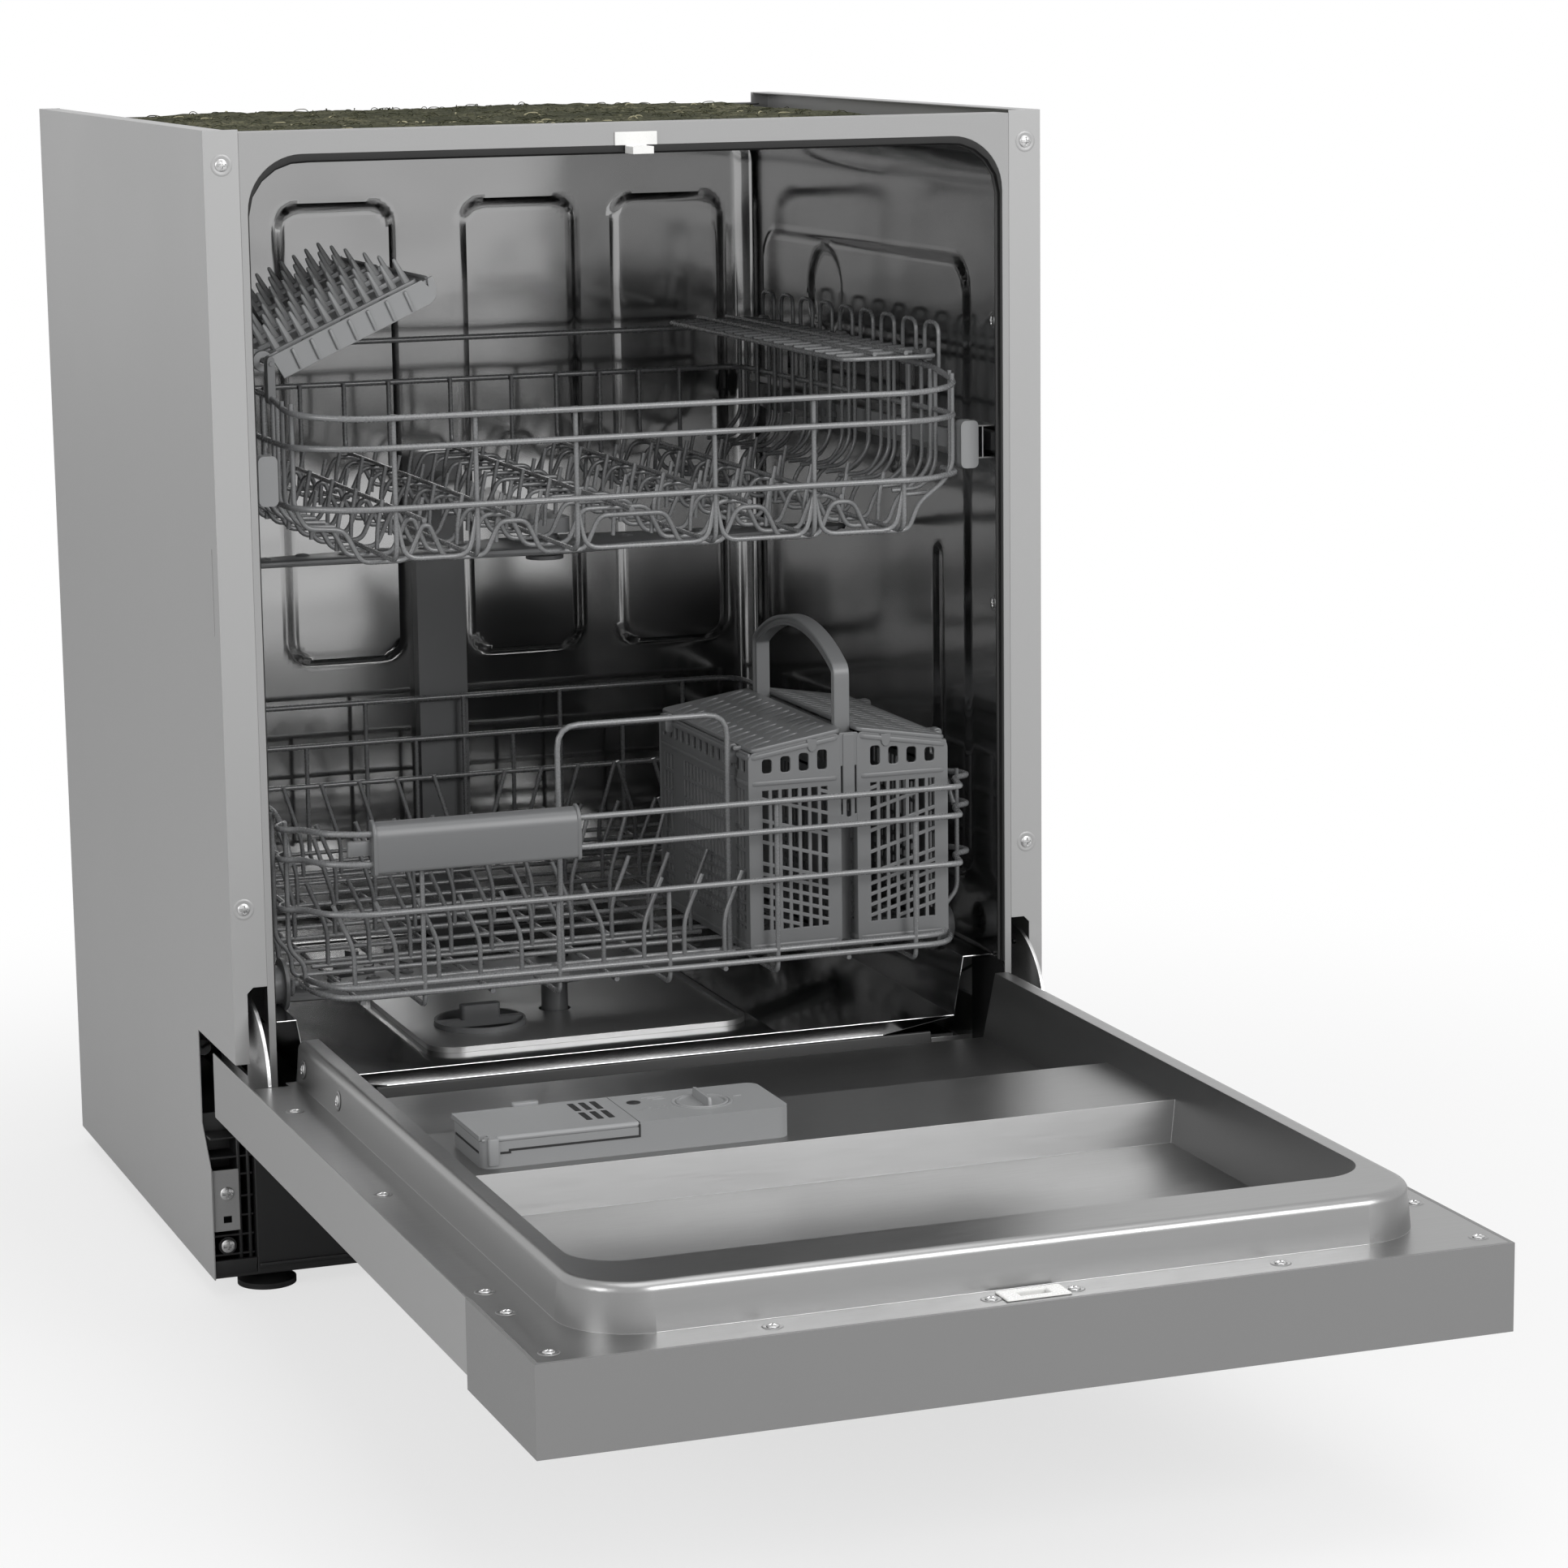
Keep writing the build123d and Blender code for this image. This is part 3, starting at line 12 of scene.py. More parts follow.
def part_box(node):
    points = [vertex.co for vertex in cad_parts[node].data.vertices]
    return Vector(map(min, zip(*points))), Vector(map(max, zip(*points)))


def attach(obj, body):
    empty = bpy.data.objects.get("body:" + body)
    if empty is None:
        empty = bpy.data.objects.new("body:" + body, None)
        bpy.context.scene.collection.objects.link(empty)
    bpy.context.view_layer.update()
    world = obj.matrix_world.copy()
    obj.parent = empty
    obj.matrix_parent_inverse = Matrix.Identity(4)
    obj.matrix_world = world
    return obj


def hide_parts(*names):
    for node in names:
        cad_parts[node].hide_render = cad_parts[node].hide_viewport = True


bl_info = {
    "name": "Open dishwasher",
    "version": (1, 0, 0),
    "blender": (4, 5, 0),
    "location": "3D View > Sidebar > Dishwasher",
    "description": "Wire baskets, pressed tub, fittings and finishes for a built-under dishwasher",
    "category": "Object",
}

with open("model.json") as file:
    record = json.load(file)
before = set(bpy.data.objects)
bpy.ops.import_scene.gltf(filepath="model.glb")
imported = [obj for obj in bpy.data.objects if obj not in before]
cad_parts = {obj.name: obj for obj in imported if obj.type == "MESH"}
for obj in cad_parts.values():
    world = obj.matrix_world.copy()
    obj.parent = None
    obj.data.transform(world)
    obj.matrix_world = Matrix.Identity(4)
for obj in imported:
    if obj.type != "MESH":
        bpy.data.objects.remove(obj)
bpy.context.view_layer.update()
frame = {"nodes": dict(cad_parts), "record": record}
CABINET_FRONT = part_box("left_side_panel")[0].y * 1000
MM = 0.001


def linear(code):
    """An sRGB hex colour as the linear colour that shaders take."""
    parts = [int(code[n:n + 2], 16) / 255 for n in (0, 2, 4)]
    return [c / 12.92 if c <= 0.04045 else ((c + 0.055) / 1.055) ** 2.4 for c in parts] + [1.0]


def size(name, text, default):
    """A length that a user may change, in metres."""
    return bpy.props.FloatProperty(
        name=name, description=text, default=default, min=0.0, unit="LENGTH", precision=4)


def tint(name, text, code):
    """A colour that a user may change."""
    return bpy.props.FloatVectorProperty(
        name=name, description=text, default=linear(code), size=4, min=0.0, max=1.0, subtype="COLOR")


class DishwasherSizes(bpy.types.PropertyGroup):
    """Lengths of the pieces that are made here."""
    rail_wire: size("Rail wire", "Thickness of the baskets' rails", 0.0044)
    rib_wire: size("Rib wire", "Thickness of the ribs and lengthwise wires", 0.0036)
    tine_wire: size("Tine wire", "Thickness of the plate tines", 0.0034)
    tine_pitch: size("Tine pitch", "Distance from tine to tine", 0.030)
    rib_pitch: size("Rib pitch", "Distance from rib to rib of the lower basket", 0.0375)
    comb_pitch: size("Comb pitch", "Distance between the upper basket's side wires", 0.024)
    pressing_depth: size("Pressing depth", "How far the tub's pressed fields stand in", 0.0026)
    pressing_grid: size("Pressing grid", "Fineness of the tub's pressed sheets", 0.0035)
    lattice_bar: size("Lattice bar", "Width of the cutlery basket's bars", 0.0018)
    screw_head: size("Screw head", "Diameter of the cross-head screws", 0.0084)
    felt_lump: size("Felt lumps", "How far the felt's top swells and sinks", 0.006)
    edge_round: size("Edge round", "Rounding of moulded edges", 0.0009)
    fold_round: size("Fold round", "Rounding of sheet metal edges", 0.0003)


class DishwasherColours(bpy.types.PropertyGroup):
    """Colours of the finishes."""
    paint: tint("Side paint", "Satin grey paint of the side panels", "a2a2a2")
    zinc: tint("Zinc coat", "Coated steel of the front frame", "969696")
    plated: tint("Plated steel", "Screws, hinges and small bright parts", "c4c4c4")
    brushed: tint("Brushed steel", "Door panel", "9d9d9d")
    drawn: tint("Drawn steel", "Satin inner door", "939393")
    bright: tint("Bright steel", "Mirror-like tub", "a2a2a2")
    fascia: tint("Fascia", "Silver-grey control panel", "7a7a7a")
    black: tint("Black plastic", "Base and cross member", "161617")
    grey: tint("Grey plastic", "Wheels, spray arms, cutlery basket, grip", "6e6f70")
    light: tint("Light plastic", "Dispenser and tray", "909192")
    white: tint("White plastic", "Latch and striker", "e9e9e7")
    wire: tint("Wire coating", "Nylon on the basket wires", "747576")
    rubber: tint("Rubber", "Gaskets", "1c1c1c")
    felt: tint("Felt", "Olive fibre mat", "5b5d48")
    straw: tint("Straw", "Pale strands in the felt", "a6a184")
    iron: tint("Cast iron", "Counterweight", "4a4a4a")


# Geometry

def at(x, y, z):
    """A point in the row frame from cabinet millimetres, y counted from the front plane."""
    return Vector((x, y + CABINET_FRONT, z)) * MM


def spread(first, last, count):
    """Evenly spaced values from first to last."""
    return [first + (last - first) * n / (count - 1) for n in range(count)]


def full_turn(steps):
    """The angles of a full turn in even steps."""
    return [2 * math.pi * k / steps for k in range(steps)]


def mirrored(points):
    """A run that goes on across the middle as the mirror image of its first half."""
    return points + [(-x, *rest) for x, *rest in reversed(points)]


def section(half, top, radius, low):
    """The tub's outline: lengths of its side, its corner and the whole, and what finds a place on it."""
    side, arc = top - radius - low, math.pi / 2 * radius
    total = 2 * side + 2 * arc + 2 * (half - radius)

    def around(s):
        """Point and inward normal at length s along the outline."""
        flip = s > total / 2
        s = total - s if flip else s
        if s < side:
            x, z, nx, nz = -half, low + s, 1.0, 0.0
        elif s < side + arc:
            a = (s - side) / radius
            x, z = -half + radius - radius * math.cos(a), top - radius + radius * math.sin(a)
            nx, nz = math.cos(a), -math.sin(a)
        else:
            x, z, nx, nz = -half + radius + s - side - arc, top, 0.0, -1.0
        return (-x, z, -nx, nz) if flip else (x, z, nx, nz)

    return side, arc, total, around


def bent(points, radius, closed=False, steps=4):
    """The points of a run with each corner rounded as a bent wire's."""
    points = [Vector(p) for p in points]
    count = len(points)
    made = []
    for n, corner in enumerate(points):
        if not closed and n in (0, count - 1):
            made.append(corner)
            continue
        before = points[n - 1] - corner
        after = points[(n + 1) % count] - corner
        reach = min(radius, before.length * 0.48, after.length * 0.48)
        start = corner + before.normalized() * reach
        end = corner + after.normalized() * reach
        for k in range(steps + 1):
            t = k / steps
            made.append(start * (1 - t) ** 2 + corner * 2 * t * (1 - t) + end * t * t)
    return made


def wires(name, runs, thickness):
    """Round wires: each run is (points in cabinet mm, bend radius in mm), with True after them if closed."""
    curve = bpy.data.curves.new(name, "CURVE")
    curve.dimensions = "3D"
    curve.bevel_depth = thickness / 2
    curve.bevel_resolution = 2
    curve.use_fill_caps = True
    for points, radius, *loop in runs:
        closed = any(loop)
        line = bent(points, radius, closed)
        spline = curve.splines.new("POLY")
        spline.points.add(len(line) - 1)
        spline.points.foreach_set("co", [c for p in line for c in (*at(*p), 1.0)])
        spline.use_cyclic_u = closed
        spline.use_smooth = True
    made = bpy.data.objects.new(name, curve)
    bpy.context.scene.collection.objects.link(made)
    return made


def mesh_of(vertices, faces, smooth_angle=35.0):
    """A mesh with soft shading that stays sharp at real edges."""
    mesh = bpy.data.meshes.new("part")
    mesh.from_pydata([tuple(v) for v in vertices], [], faces)
    mesh.validate()
    skin = bmesh.new()
    skin.from_mesh(mesh)
    bmesh.ops.recalc_face_normals(skin, faces=skin.faces)
    skin.to_mesh(mesh)
    skin.free()
    mesh.shade_smooth()
    mesh.set_sharp_from_angle(angle=math.radians(smooth_angle))
    return mesh


def merged(name, meshes):
    """One object from several meshes."""
    vertices, faces = [], []
    for mesh in meshes:
        start = len(vertices)
        vertices += [v.co.copy() for v in mesh.vertices]
        faces += [[start + i for i in p.vertices] for p in mesh.polygons]
    whole = mesh_of(vertices, faces)
    whole.name = name
    made = bpy.data.objects.new(name, whole)
    bpy.context.scene.collection.objects.link(made)
    return made


def loft(rings, caps=True, closed=False):
    """A skin over rings of points, the rings in order."""
    count = len(rings[0])
    vertices = [p for ring in rings for p in ring]
    faces = []
    for n in range(len(rings) if closed else len(rings) - 1):
        here, there = n * count, ((n + 1) % len(rings)) * count
        for k in range(count):
            after = (k + 1) % count
            faces.append((here + k, here + after, there + after, there + k))
    if caps and not closed:
        faces.append(tuple(reversed(range(count))))
        faces.append(tuple(range(len(vertices) - count, len(vertices))))
    return mesh_of(vertices, faces)


def seat(centre, normal):
    """What sets (u, v, height) on an axis through centre, in cabinet mm."""
    turn = Vector(normal).to_track_quat("Z", "Y").to_matrix()
    return lambda u, v, height: at(*(Vector(centre) + turn @ Vector((u, v, height))))


def turned(profile, centre, normal=(0, 0, 1), steps=32):
    """A profile of (radius, height) turned about an axis through centre, in cabinet mm."""
    spot = seat(centre, normal)
    rings = []
    for radius, height in profile:
        radius = max(radius, 0.01)
        rings.append([spot(radius * math.cos(a), radius * math.sin(a), height) for a in full_turn(steps)])
    return loft(rings)


def rounded(width, height, radius, centre=(0, 0), steps=4):
    """A rectangle with round corners, as a ring of points."""
    radius = min(radius, width / 2 - 0.01, height / 2 - 0.01)
    ring = []
    for n, (sx, sy) in enumerate(((1, 1), (-1, 1), (-1, -1), (1, -1))):
        cx, cy = centre[0] + sx * (width / 2 - radius), centre[1] + sy * (height / 2 - radius)
        for k in range(steps + 1):
            angle = math.pi / 2 * (n + k / steps)
            ring.append((cx + radius * math.cos(angle), cy + radius * math.sin(angle)))
    return ring


def plate(outline, holes, thickness, place, edge=0.35):
    """A flat moulded plate with real holes and soft edges: place turns (u, v, w) into cabinet mm."""
    curve = bpy.data.curves.new("plate", "CURVE")
    curve.dimensions = "2D"
    curve.fill_mode = "BOTH"
    curve.extrude = thickness / 2 - edge
    curve.bevel_depth = edge
    curve.bevel_resolution = 1
    for ring in [outline, *holes]:
        spline = curve.splines.new("POLY")
        spline.points.add(len(ring) - 1)
        spline.points.foreach_set("co", [c for x, y in ring for c in (x, y, 0.0, 1.0)])
        spline.use_cyclic_u = True
    holder = bpy.data.objects.new("plate", curve)
    mesh = bpy.data.meshes.new_from_object(holder)
    bpy.data.objects.remove(holder)
    for vertex in mesh.vertices:
        vertex.co = at(*place(*vertex.co))
    return mesh


def flat(x, y, z):
    """Lays a plate level: u across, v in depth, w up."""
    return lambda u, v, w: (x + u, y + v, z + w)


def facing(x, y, z):
    """Stands a plate up to face the front: u across, v up, w in depth."""
    return lambda u, v, w: (x + u, y + w, z + v)


def sideways(x, y, z):
    """Stands a plate up to face the side: u in depth, v up, w across."""
    return lambda u, v, w: (x + w, y + u, z + v)


def lump(size_mm, centre=(0, 0, 0), radius=2.0, place=None):
    """A block with rounded upright edges and softened rims, centred in cabinet mm."""
    w, d, h = size_mm
    return plate(rounded(w, d, radius), [], h, place or flat(*centre), edge=min(0.6, h / 4))


def field(columns, rows, point):
    """A sheet of points: point(u, v) gives the place for u and v from 0 to 1."""
    us, vs = spread(0, 1, columns), spread(0, 1, rows)
    vertices = [point(u, v) for u in us for v in vs]
    faces = [
        (a * rows + b, a * rows + b + 1, (a + 1) * rows + b + 1, (a + 1) * rows + b)
        for a in range(columns - 1) for b in range(rows - 1)
    ]
    return mesh_of(vertices, faces, 80)


# Materials

def add(tree, kind, inputs=None, **settings):
    """Adds a node with its settings; an input is a value or the socket that feeds it."""
    made = tree.nodes.new(kind)
    for name, value in settings.items():
        setattr(made, name, value)
    for name, value in (inputs or {}).items():
        socket = made.inputs[name]
        if isinstance(value, bpy.types.NodeSocket):
            tree.links.new(value, socket)
        else:
            socket.default_value = value
    return made


def blank(name):
    """A new material, its node tree and its shader."""
    made = bpy.data.materials.new(name)
    made.use_nodes = True
    return made, made.node_tree, made.node_tree.nodes["Principled BSDF"]


def cloud(tree, where, grain_mm, detail, **more):
    """Noise with features about grain_mm across."""
    inputs = {"Vector": where, "Scale": 1000 / grain_mm, "Detail": detail, **more}
    return add(tree, "ShaderNodeTexNoise", inputs).outputs["Fac"]


def levels(tree, value, low, high, first=0.0, last=1.0):
    """A value between low and high, spread from first to last."""
    inputs = {"Value": value, "From Min": low, "From Max": high, "To Min": first, "To Max": last}
    return add(tree, "ShaderNodeMapRange", inputs).outputs["Result"]


def blend(tree, factor, first, second):
    """A colour between two, each of them a colour or a socket."""
    inputs = {"Factor": factor, 6: first, 7: second}
    return add(tree, "ShaderNodeMix", inputs, data_type="RGBA").outputs[2]


def bumped(tree, height, depth_mm, under=None):
    """Bump of a real depth, laid over another one if that is given."""
    inputs = {"Height": height, "Strength": 1.0, "Distance": depth_mm * MM}
    if under is not None:
        inputs["Normal"] = under
    return add(tree, "ShaderNodeBump", inputs).outputs["Normal"]


def scaled(colour, share):
    """A colour made darker or paler, up to white."""
    return [min(1.0, c * share) for c in colour[:3]] + [1.0]


def surface(name, colour, metallic, roughness, grain_mm, depth_mm, stretch=(1, 1, 1), shade=0.06,
            spread_rough=0.05, wave_mm=0.0, wave_depth=0.0, **sockets):
    """A finish with its grain as bump, and slow changes of shade and roughness at a real scale."""
    made, tree, shader = blank(name)
    shader.inputs["Metallic"].default_value = metallic
    for socket, value in sockets.items():
        shader.inputs[socket.replace("_", " ")].default_value = value
    where = add(tree, "ShaderNodeTexCoord").outputs["Object"]
    stretched = add(tree, "ShaderNodeMapping", {"Vector": where, "Scale": stretch}).outputs["Vector"]
    fine = cloud(tree, stretched, grain_mm, 4.0)
    slow = cloud(tree, where, 140, 2.0)
    both = add(tree, "ShaderNodeMix", {"Factor": 0.35, "A": fine, "B": slow}, data_type="FLOAT").outputs[0]
    tone = blend(tree, both, scaled(colour, 1 - shade), scaled(colour, 1 + shade))
    tree.links.new(tone, shader.inputs["Base Color"])
    rough = levels(tree, both, 0.3, 0.7, max(0.03, roughness - spread_rough), roughness + spread_rough)
    tree.links.new(rough, shader.inputs["Roughness"])
    bump = bumped(tree, fine, depth_mm)
    if wave_mm:
        bump = bumped(tree, cloud(tree, where, wave_mm, 1.0), wave_depth, bump)
    tree.links.new(bump, shader.inputs["Normal"])
    return made


def matted_felt(colours):
    """Recycled fibre felt: matted strands about 1 mm apart, drawn as clumps of 3 mm so that they show, with painted
    shade in the hollows between the clumps.
    """
    made, tree, shader = blank("recycled_fibre_felt")
    shader.inputs["Roughness"].default_value = 0.95
    shader.inputs["Specular IOR Level"].default_value = 0.15
    where = add(tree, "ShaderNodeTexCoord").outputs["Object"]
    clumps = cloud(tree, where, 3.4, 5.0, Roughness=0.68, Distortion=0.6)
    tufts = cloud(tree, where, 16, 3.0)
    patches = cloud(tree, where, 70, 3.0)
    mossy = [(c + 1.3 * s) / 2.2 for c, s in zip(colours.felt[:3], colours.straw[:3])] + [1.0]
    tone = blend(tree, levels(tree, tufts, 0.35, 0.65), list(colours.felt), mossy)
    worn = blend(tree, levels(tree, patches, 0.35, 0.65), tone, scaled(colours.felt, 0.72))
    # Painted shade: where the clumps sink, the felt is drawn at 30 % of its colour.
    pit_shaded_felt = blend(tree, levels(tree, clumps, 0.4, 0.62), scaled(colours.felt, 0.3), worn)
    tree.links.new(pit_shaded_felt, shader.inputs["Base Color"])
    tree.links.new(bumped(tree, clumps, 2.2, bumped(tree, tufts, 3.0)), shader.inputs["Normal"])
    return made


def finishes(colours):
    """Every finish of the machine, by the record's material slot."""
    return {
        # Polyester paint over zinc-coated steel: a satin skin with a fine orange peel.
        "painted_side": surface("satin_painted_steel", colours.paint, 0.25, 0.42, 0.9, 0.012, shade=0.03),
        # Hot-dip zinc under clear varnish: pale, with a dull metallic fleck.
        "galvanised": surface("varnished_zinc_steel", colours.zinc, 0.2, 0.5, 1.1, 0.02, shade=0.07),
        # Stainless sheet brushed along its length: fine parallel lines about 0.5 mm apart.
        "door_steel": surface("brushed_stainless", colours.brushed, 0.75, 0.36, 0.5, 0.010,
                              stretch=(0.02, 1, 1), shade=0.05),
        # Deep-drawn stainless with a matt rolling finish: broad, soft reflections.
        "drawn_steel": surface("deep_drawn_stainless", colours.drawn, 1.0, 0.33, 0.8, 0.0,
                               stretch=(0.03, 1, 1), shade=0.04, wave_mm=160, wave_depth=0.12),
        # Bright annealed stainless: nearly a mirror, a little wavy from pressing.
        "tub_steel": surface("bright_annealed_stainless", colours.bright, 1.0, 0.13, 0.6, 0.002, shade=0.04,
                             spread_rough=0.03, wave_mm=85, wave_depth=0.8),
        # ABS with silver-grey lacquer: even and softly speckled.
        "fascia_plastic": surface("lacquered_abs", colours.fascia, 0.15, 0.46, 0.7, 0.010, shade=0.04),
        # Black glass-filled polypropylene: fine moulded grain.
        "black_plastic": surface("black_polypropylene", colours.black, 0.0, 0.5, 0.8, 0.02, shade=0.15),
        # Grey polypropylene: satin from the mould.
        "grey_plastic": surface("grey_polypropylene", colours.grey, 0.0, 0.38, 0.7, 0.008, shade=0.04),
        # Pale grey polypropylene: the same satin, lighter.
        "light_plastic": surface("pale_polypropylene", colours.light, 0.0, 0.40, 0.7, 0.008, shade=0.03),
        # White acetal: dense and slightly glossy.
        "white_plastic": surface("white_acetal", colours.white, 0.0, 0.28, 1.0, 0.004, shade=0.02),
        # Nylon powder fused on steel wire: smooth, rounded highlights.
        "wire_coating": surface("nylon_coated_wire", colours.wire, 0.0, 0.27, 1.5, 0.010, shade=0.05,
                                Coat_Weight=0.35, Coat_Roughness=0.12),
        # EPDM rubber: soft black with a faint bloom.
        "gasket_rubber": surface("epdm_rubber", colours.rubber, 0.0, 0.36, 0.8, 0.02, shade=0.2),
        "felt": matted_felt(colours),
        # Single straw strands: dry and pale.
        "straw": surface("straw_strand", colours.straw, 0.0, 0.8, 0.8, 0.05, shade=0.3),
        # Etched stainless mesh: too fine to draw, so a satin steel with a fine grain.
        "filter_mesh": surface("etched_stainless_mesh", colours.plated, 0.9, 0.35, 0.5, 0.01, shade=0.1),
        # Die-cast aluminium: matt with a sandy skin.
        "motor_metal": surface("die_cast_aluminium", colours.plated, 0.9, 0.5, 0.9, 0.04, shade=0.08),
        # Raw cast iron: rough and dark.
        "weight_iron": surface("raw_cast_iron", colours.iron, 0.6, 0.75, 2.0, 0.2, shade=0.2),
        # Zinc-plated steel: bluish bright with a soft sheen.
        "hinge_steel": surface("zinc_plated_steel", colours.plated, 1.0, 0.30, 0.7, 0.006, shade=0.06),
        # Oiled spring steel: dark and smooth.
        "spring_steel": surface("oiled_spring_steel", colours.iron, 0.9, 0.35, 0.6, 0.004, shade=0.1),
    }


looks = {}


def settle(piece, slot, body, *nodes, look=None):
    """Gives a piece its finish and its body, and says which CAD nodes it stands for."""
    piece.data.materials.clear()
    piece.data.materials.append(looks[look or slot])
    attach(piece, body)
    if nodes:
        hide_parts(*nodes)
    return piece


class DISHWASHER_OT_finishes(bpy.types.Operator):
    """Make the finishes and give them to the CAD nodes, with softened edges"""
    bl_idname = "dishwasher.finishes"
    bl_label = "Finishes"

    def execute(self, context):
        sizes = context.scene.dishwasher_sizes
        looks.update(finishes(context.scene.dishwasher_colours))
        sheet_slots = ("painted_side", "galvanised", "door_steel", "tub_steel", "hinge_steel", "filter_mesh")
        for entry in frame["record"]["subparts"]:
            node, slot = frame["nodes"][entry["node"]], entry["material_slot"]
            look = looks["drawn_steel"] if entry["node"] == "door_liner" else looks[slot]
            for n in range(max(1, len(node.material_slots))):
                if n < len(node.material_slots):
                    node.material_slots[n].material = look
                else:
                    node.data.materials.append(look)
            weld = node.modifiers.new("weld", "WELD")
            weld.merge_threshold = 0.00002
            bevel = node.modifiers.new("edges", "BEVEL")
            bevel.width = sizes.fold_round if slot in sheet_slots else sizes.edge_round
            if entry["node"].startswith("dispenser_"):
                bevel.width = sizes.edge_round * (3 if entry["node"] == "dispenser_body" else 1.5)
            bevel.segments = 2
            bevel.limit_method = "ANGLE"
            bevel.angle_limit = math.radians(40)
            bevel.harden_normals = True
            shading = node.modifiers.new("shading", "WEIGHTED_NORMAL")
            shading.keep_sharp = True
        return {"FINISHED"}


class DISHWASHER_OT_lower_basket(bpy.types.Operator):
    """Lower basket: bent rails, ribs, hoops, plate tines and the upright loop"""
    bl_idname = "dishwasher.lower_basket"
    bl_label = "Lower basket"

    def grip(self):
        """The moulded grip: a bar with a full round along its top and a flange at each end."""
        low, high = [corner * 1000 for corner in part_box("basket_grip")]
        near, far, foot, top = low.y - CABINET_FRONT, high.y - CABINET_FRONT, low.z, high.z
        deep = far - near
        crown = min(8.0, deep * 0.7)

        def ring(x, out):
            """The bar's section at x, grown outwards."""
            line = bent([(0, near - out * 0.2, foot - out), (0, near - out * 0.2, top - crown + out),
                         (0, near + crown * 0.3, top - crown * 0.3 + out), (0, near + crown, top + out),
                         (0, far + out * 0.2, top + out), (0, far + out * 0.2, foot - out)], 2.6, closed=True)
            return [at(x, p.y, p.z) for p in line]

        parts = [loft([ring(low.x + 1, 0), ring(high.x - 1, 0)])]
        for x in (low.x, high.x - 2.6):
            parts.append(loft([ring(x, 1.0), ring(x + 0.5, 1.6), ring(x + 2.1, 1.6), ring(x + 2.6, 1.0)]))
        parts.append(lump((18, 3, 10), (low.x - 7, far - 2.5, (foot + top) / 2), 1.4))
        return merged("basket_grip_moulded", parts)

    def execute(self, context):
        sizes = context.scene.dishwasher_sizes
        front, back, floor = -8.0, 504.8, 230.2
        wall, foot, top = 247.0, 238.5, 347.8
        rails = []
        for z in (344, 323, 288):
            rails.append(([
                (-wall + 1, front + 62, z), (-255, front + 52, z), (-255, front + 41, z), (-242, front + 36, z),
                (-229, front + 12, z), (-207, front, z), (226, front, z), (233, front + 1, z),
                (241, front + 34, z), (255, front + 40, z), (255, front + 51, z), (wall - 1, front + 62, z),
            ], 7))
        rails.append((mirrored([
            (-wall, front + 48, 322), (-wall, front + 58, 336), (-wall, front + 82, top), (-wall, back, top),
        ]), 26))
        for z in (316, 284):
            rails.append((mirrored([(-wall + 3, front + 60, z), (-wall + 3, back - 3, z)]), 24))
        rails.append((mirrored([
            (-foot, front + 56, floor), (-236, front + 26, floor), (-222, front + 2, floor),
        ]), 16))
        rails.append((mirrored([
            (-foot, front + 56, floor + 6), (-234, front + 28, floor + 6), (-220, front + 5, floor + 6),
        ]), 16))
        y = front + 38
        rails.append(([(-55.8, y, floor), (-55.8, y, 402.2), (69.8, y, 402.2), (69.8, y, floor)], 16))
        ribs = []
        count = int((back - front - 48) * MM / sizes.rib_pitch) + 1
        for y in spread(front + 48, back - 4, count):
            ribs.append((mirrored([
                (-wall - 2.4, y, top), (-wall - 2.4, y, 258), (-foot, y, 247), (-foot, y, floor),
            ]), 7))
        under = floor - 3.6
        for x, high in ((-165.2, 323), (-68, 288), (13.1, 288), (94, 344), (199.2, 323)):
            ribs.append(([
                (x, front + 4.4, high), (x, front + 4.4, 219.8), (x, front + 64, 219.8),
                (x, front + 68, under), (x, back - 3, under), (x, back - 3, top),
            ], 8))
        for x in (-210, -117.1, -27, 53.9, 147):
            ribs.append(([(x, front + 2, under), (x, back - 3, under), (x, back - 3, 316)], 8))
        tines, base = [], floor + 3.4
        for row, high, last in ((22, 292, 60), (95, 294, 60), (190, 306, 60), (300, 294, 210), (400, 306, 210)):
            y = front + row
            tines.append(([(-222, y, base), (last + 8, y, base)], 1))
            for x in spread(-210, last, round((last + 210) * MM / sizes.tine_pitch) + 1):
                lean = -14 if x < -10 or x > 100 else 14
                tines.append(([(x, y, base), (x, y, floor + 30), (x + lean, y, high)], 9))
        stubs, clips, z = [], [], 224.7
        for y in [front + place for place in (89, 189, 339, 439)]:
            for side in (-1, 1):
                x = side * 240
                stubs.append(([(side * 234, y, z), (side * 257.8, y, z)], 1))
                clips.append(([(x, y - 11, floor), (x, y - 8, z - 7), (x, y + 8, z - 7), (x, y + 11, floor)], 5))
        settle(wires("lower_basket_rails", rails, sizes.rail_wire), "wire_coating", "lower_basket",
               "lower_basket")
        settle(wires("lower_basket_ribs", ribs + clips, sizes.rib_wire), "wire_coating", "lower_basket")
        settle(wires("lower_basket_tines", tines, sizes.tine_wire), "wire_coating", "lower_basket")
        settle(wires("lower_basket_axles", stubs, 0.006), "grey_plastic", "lower_basket")
        settle(self.grip(), "grey_plastic", "lower_basket", "basket_grip")
        return {"FINISHED"}


def wave(y, left, right, low=526.0, high=549.0):
    """One rib of the upper basket: down the wall, over the ridges between the glasses, up the other wall."""
    ridges = ((-206, high), (-194, low), (-162, low), (-151, high), (-146, high), (-136, low), (-107, low),
              (-96, high), (-77, high), (-66, low), (-35, low), (-24, high), (24, high), (35, low), (66, low),
              (77, high), (97, high), (108, low), (138, low), (148, high), (164, high), (175, low), (206, low),
              (214, high - 4))
    ends = ((left, 636), (left, 566), (left + 8, 551)), ((right - 6, 560), (right, 570), (right, 636))
    return [(x, y, z) for x, z in (*ends[0], *ridges, *ends[1])]


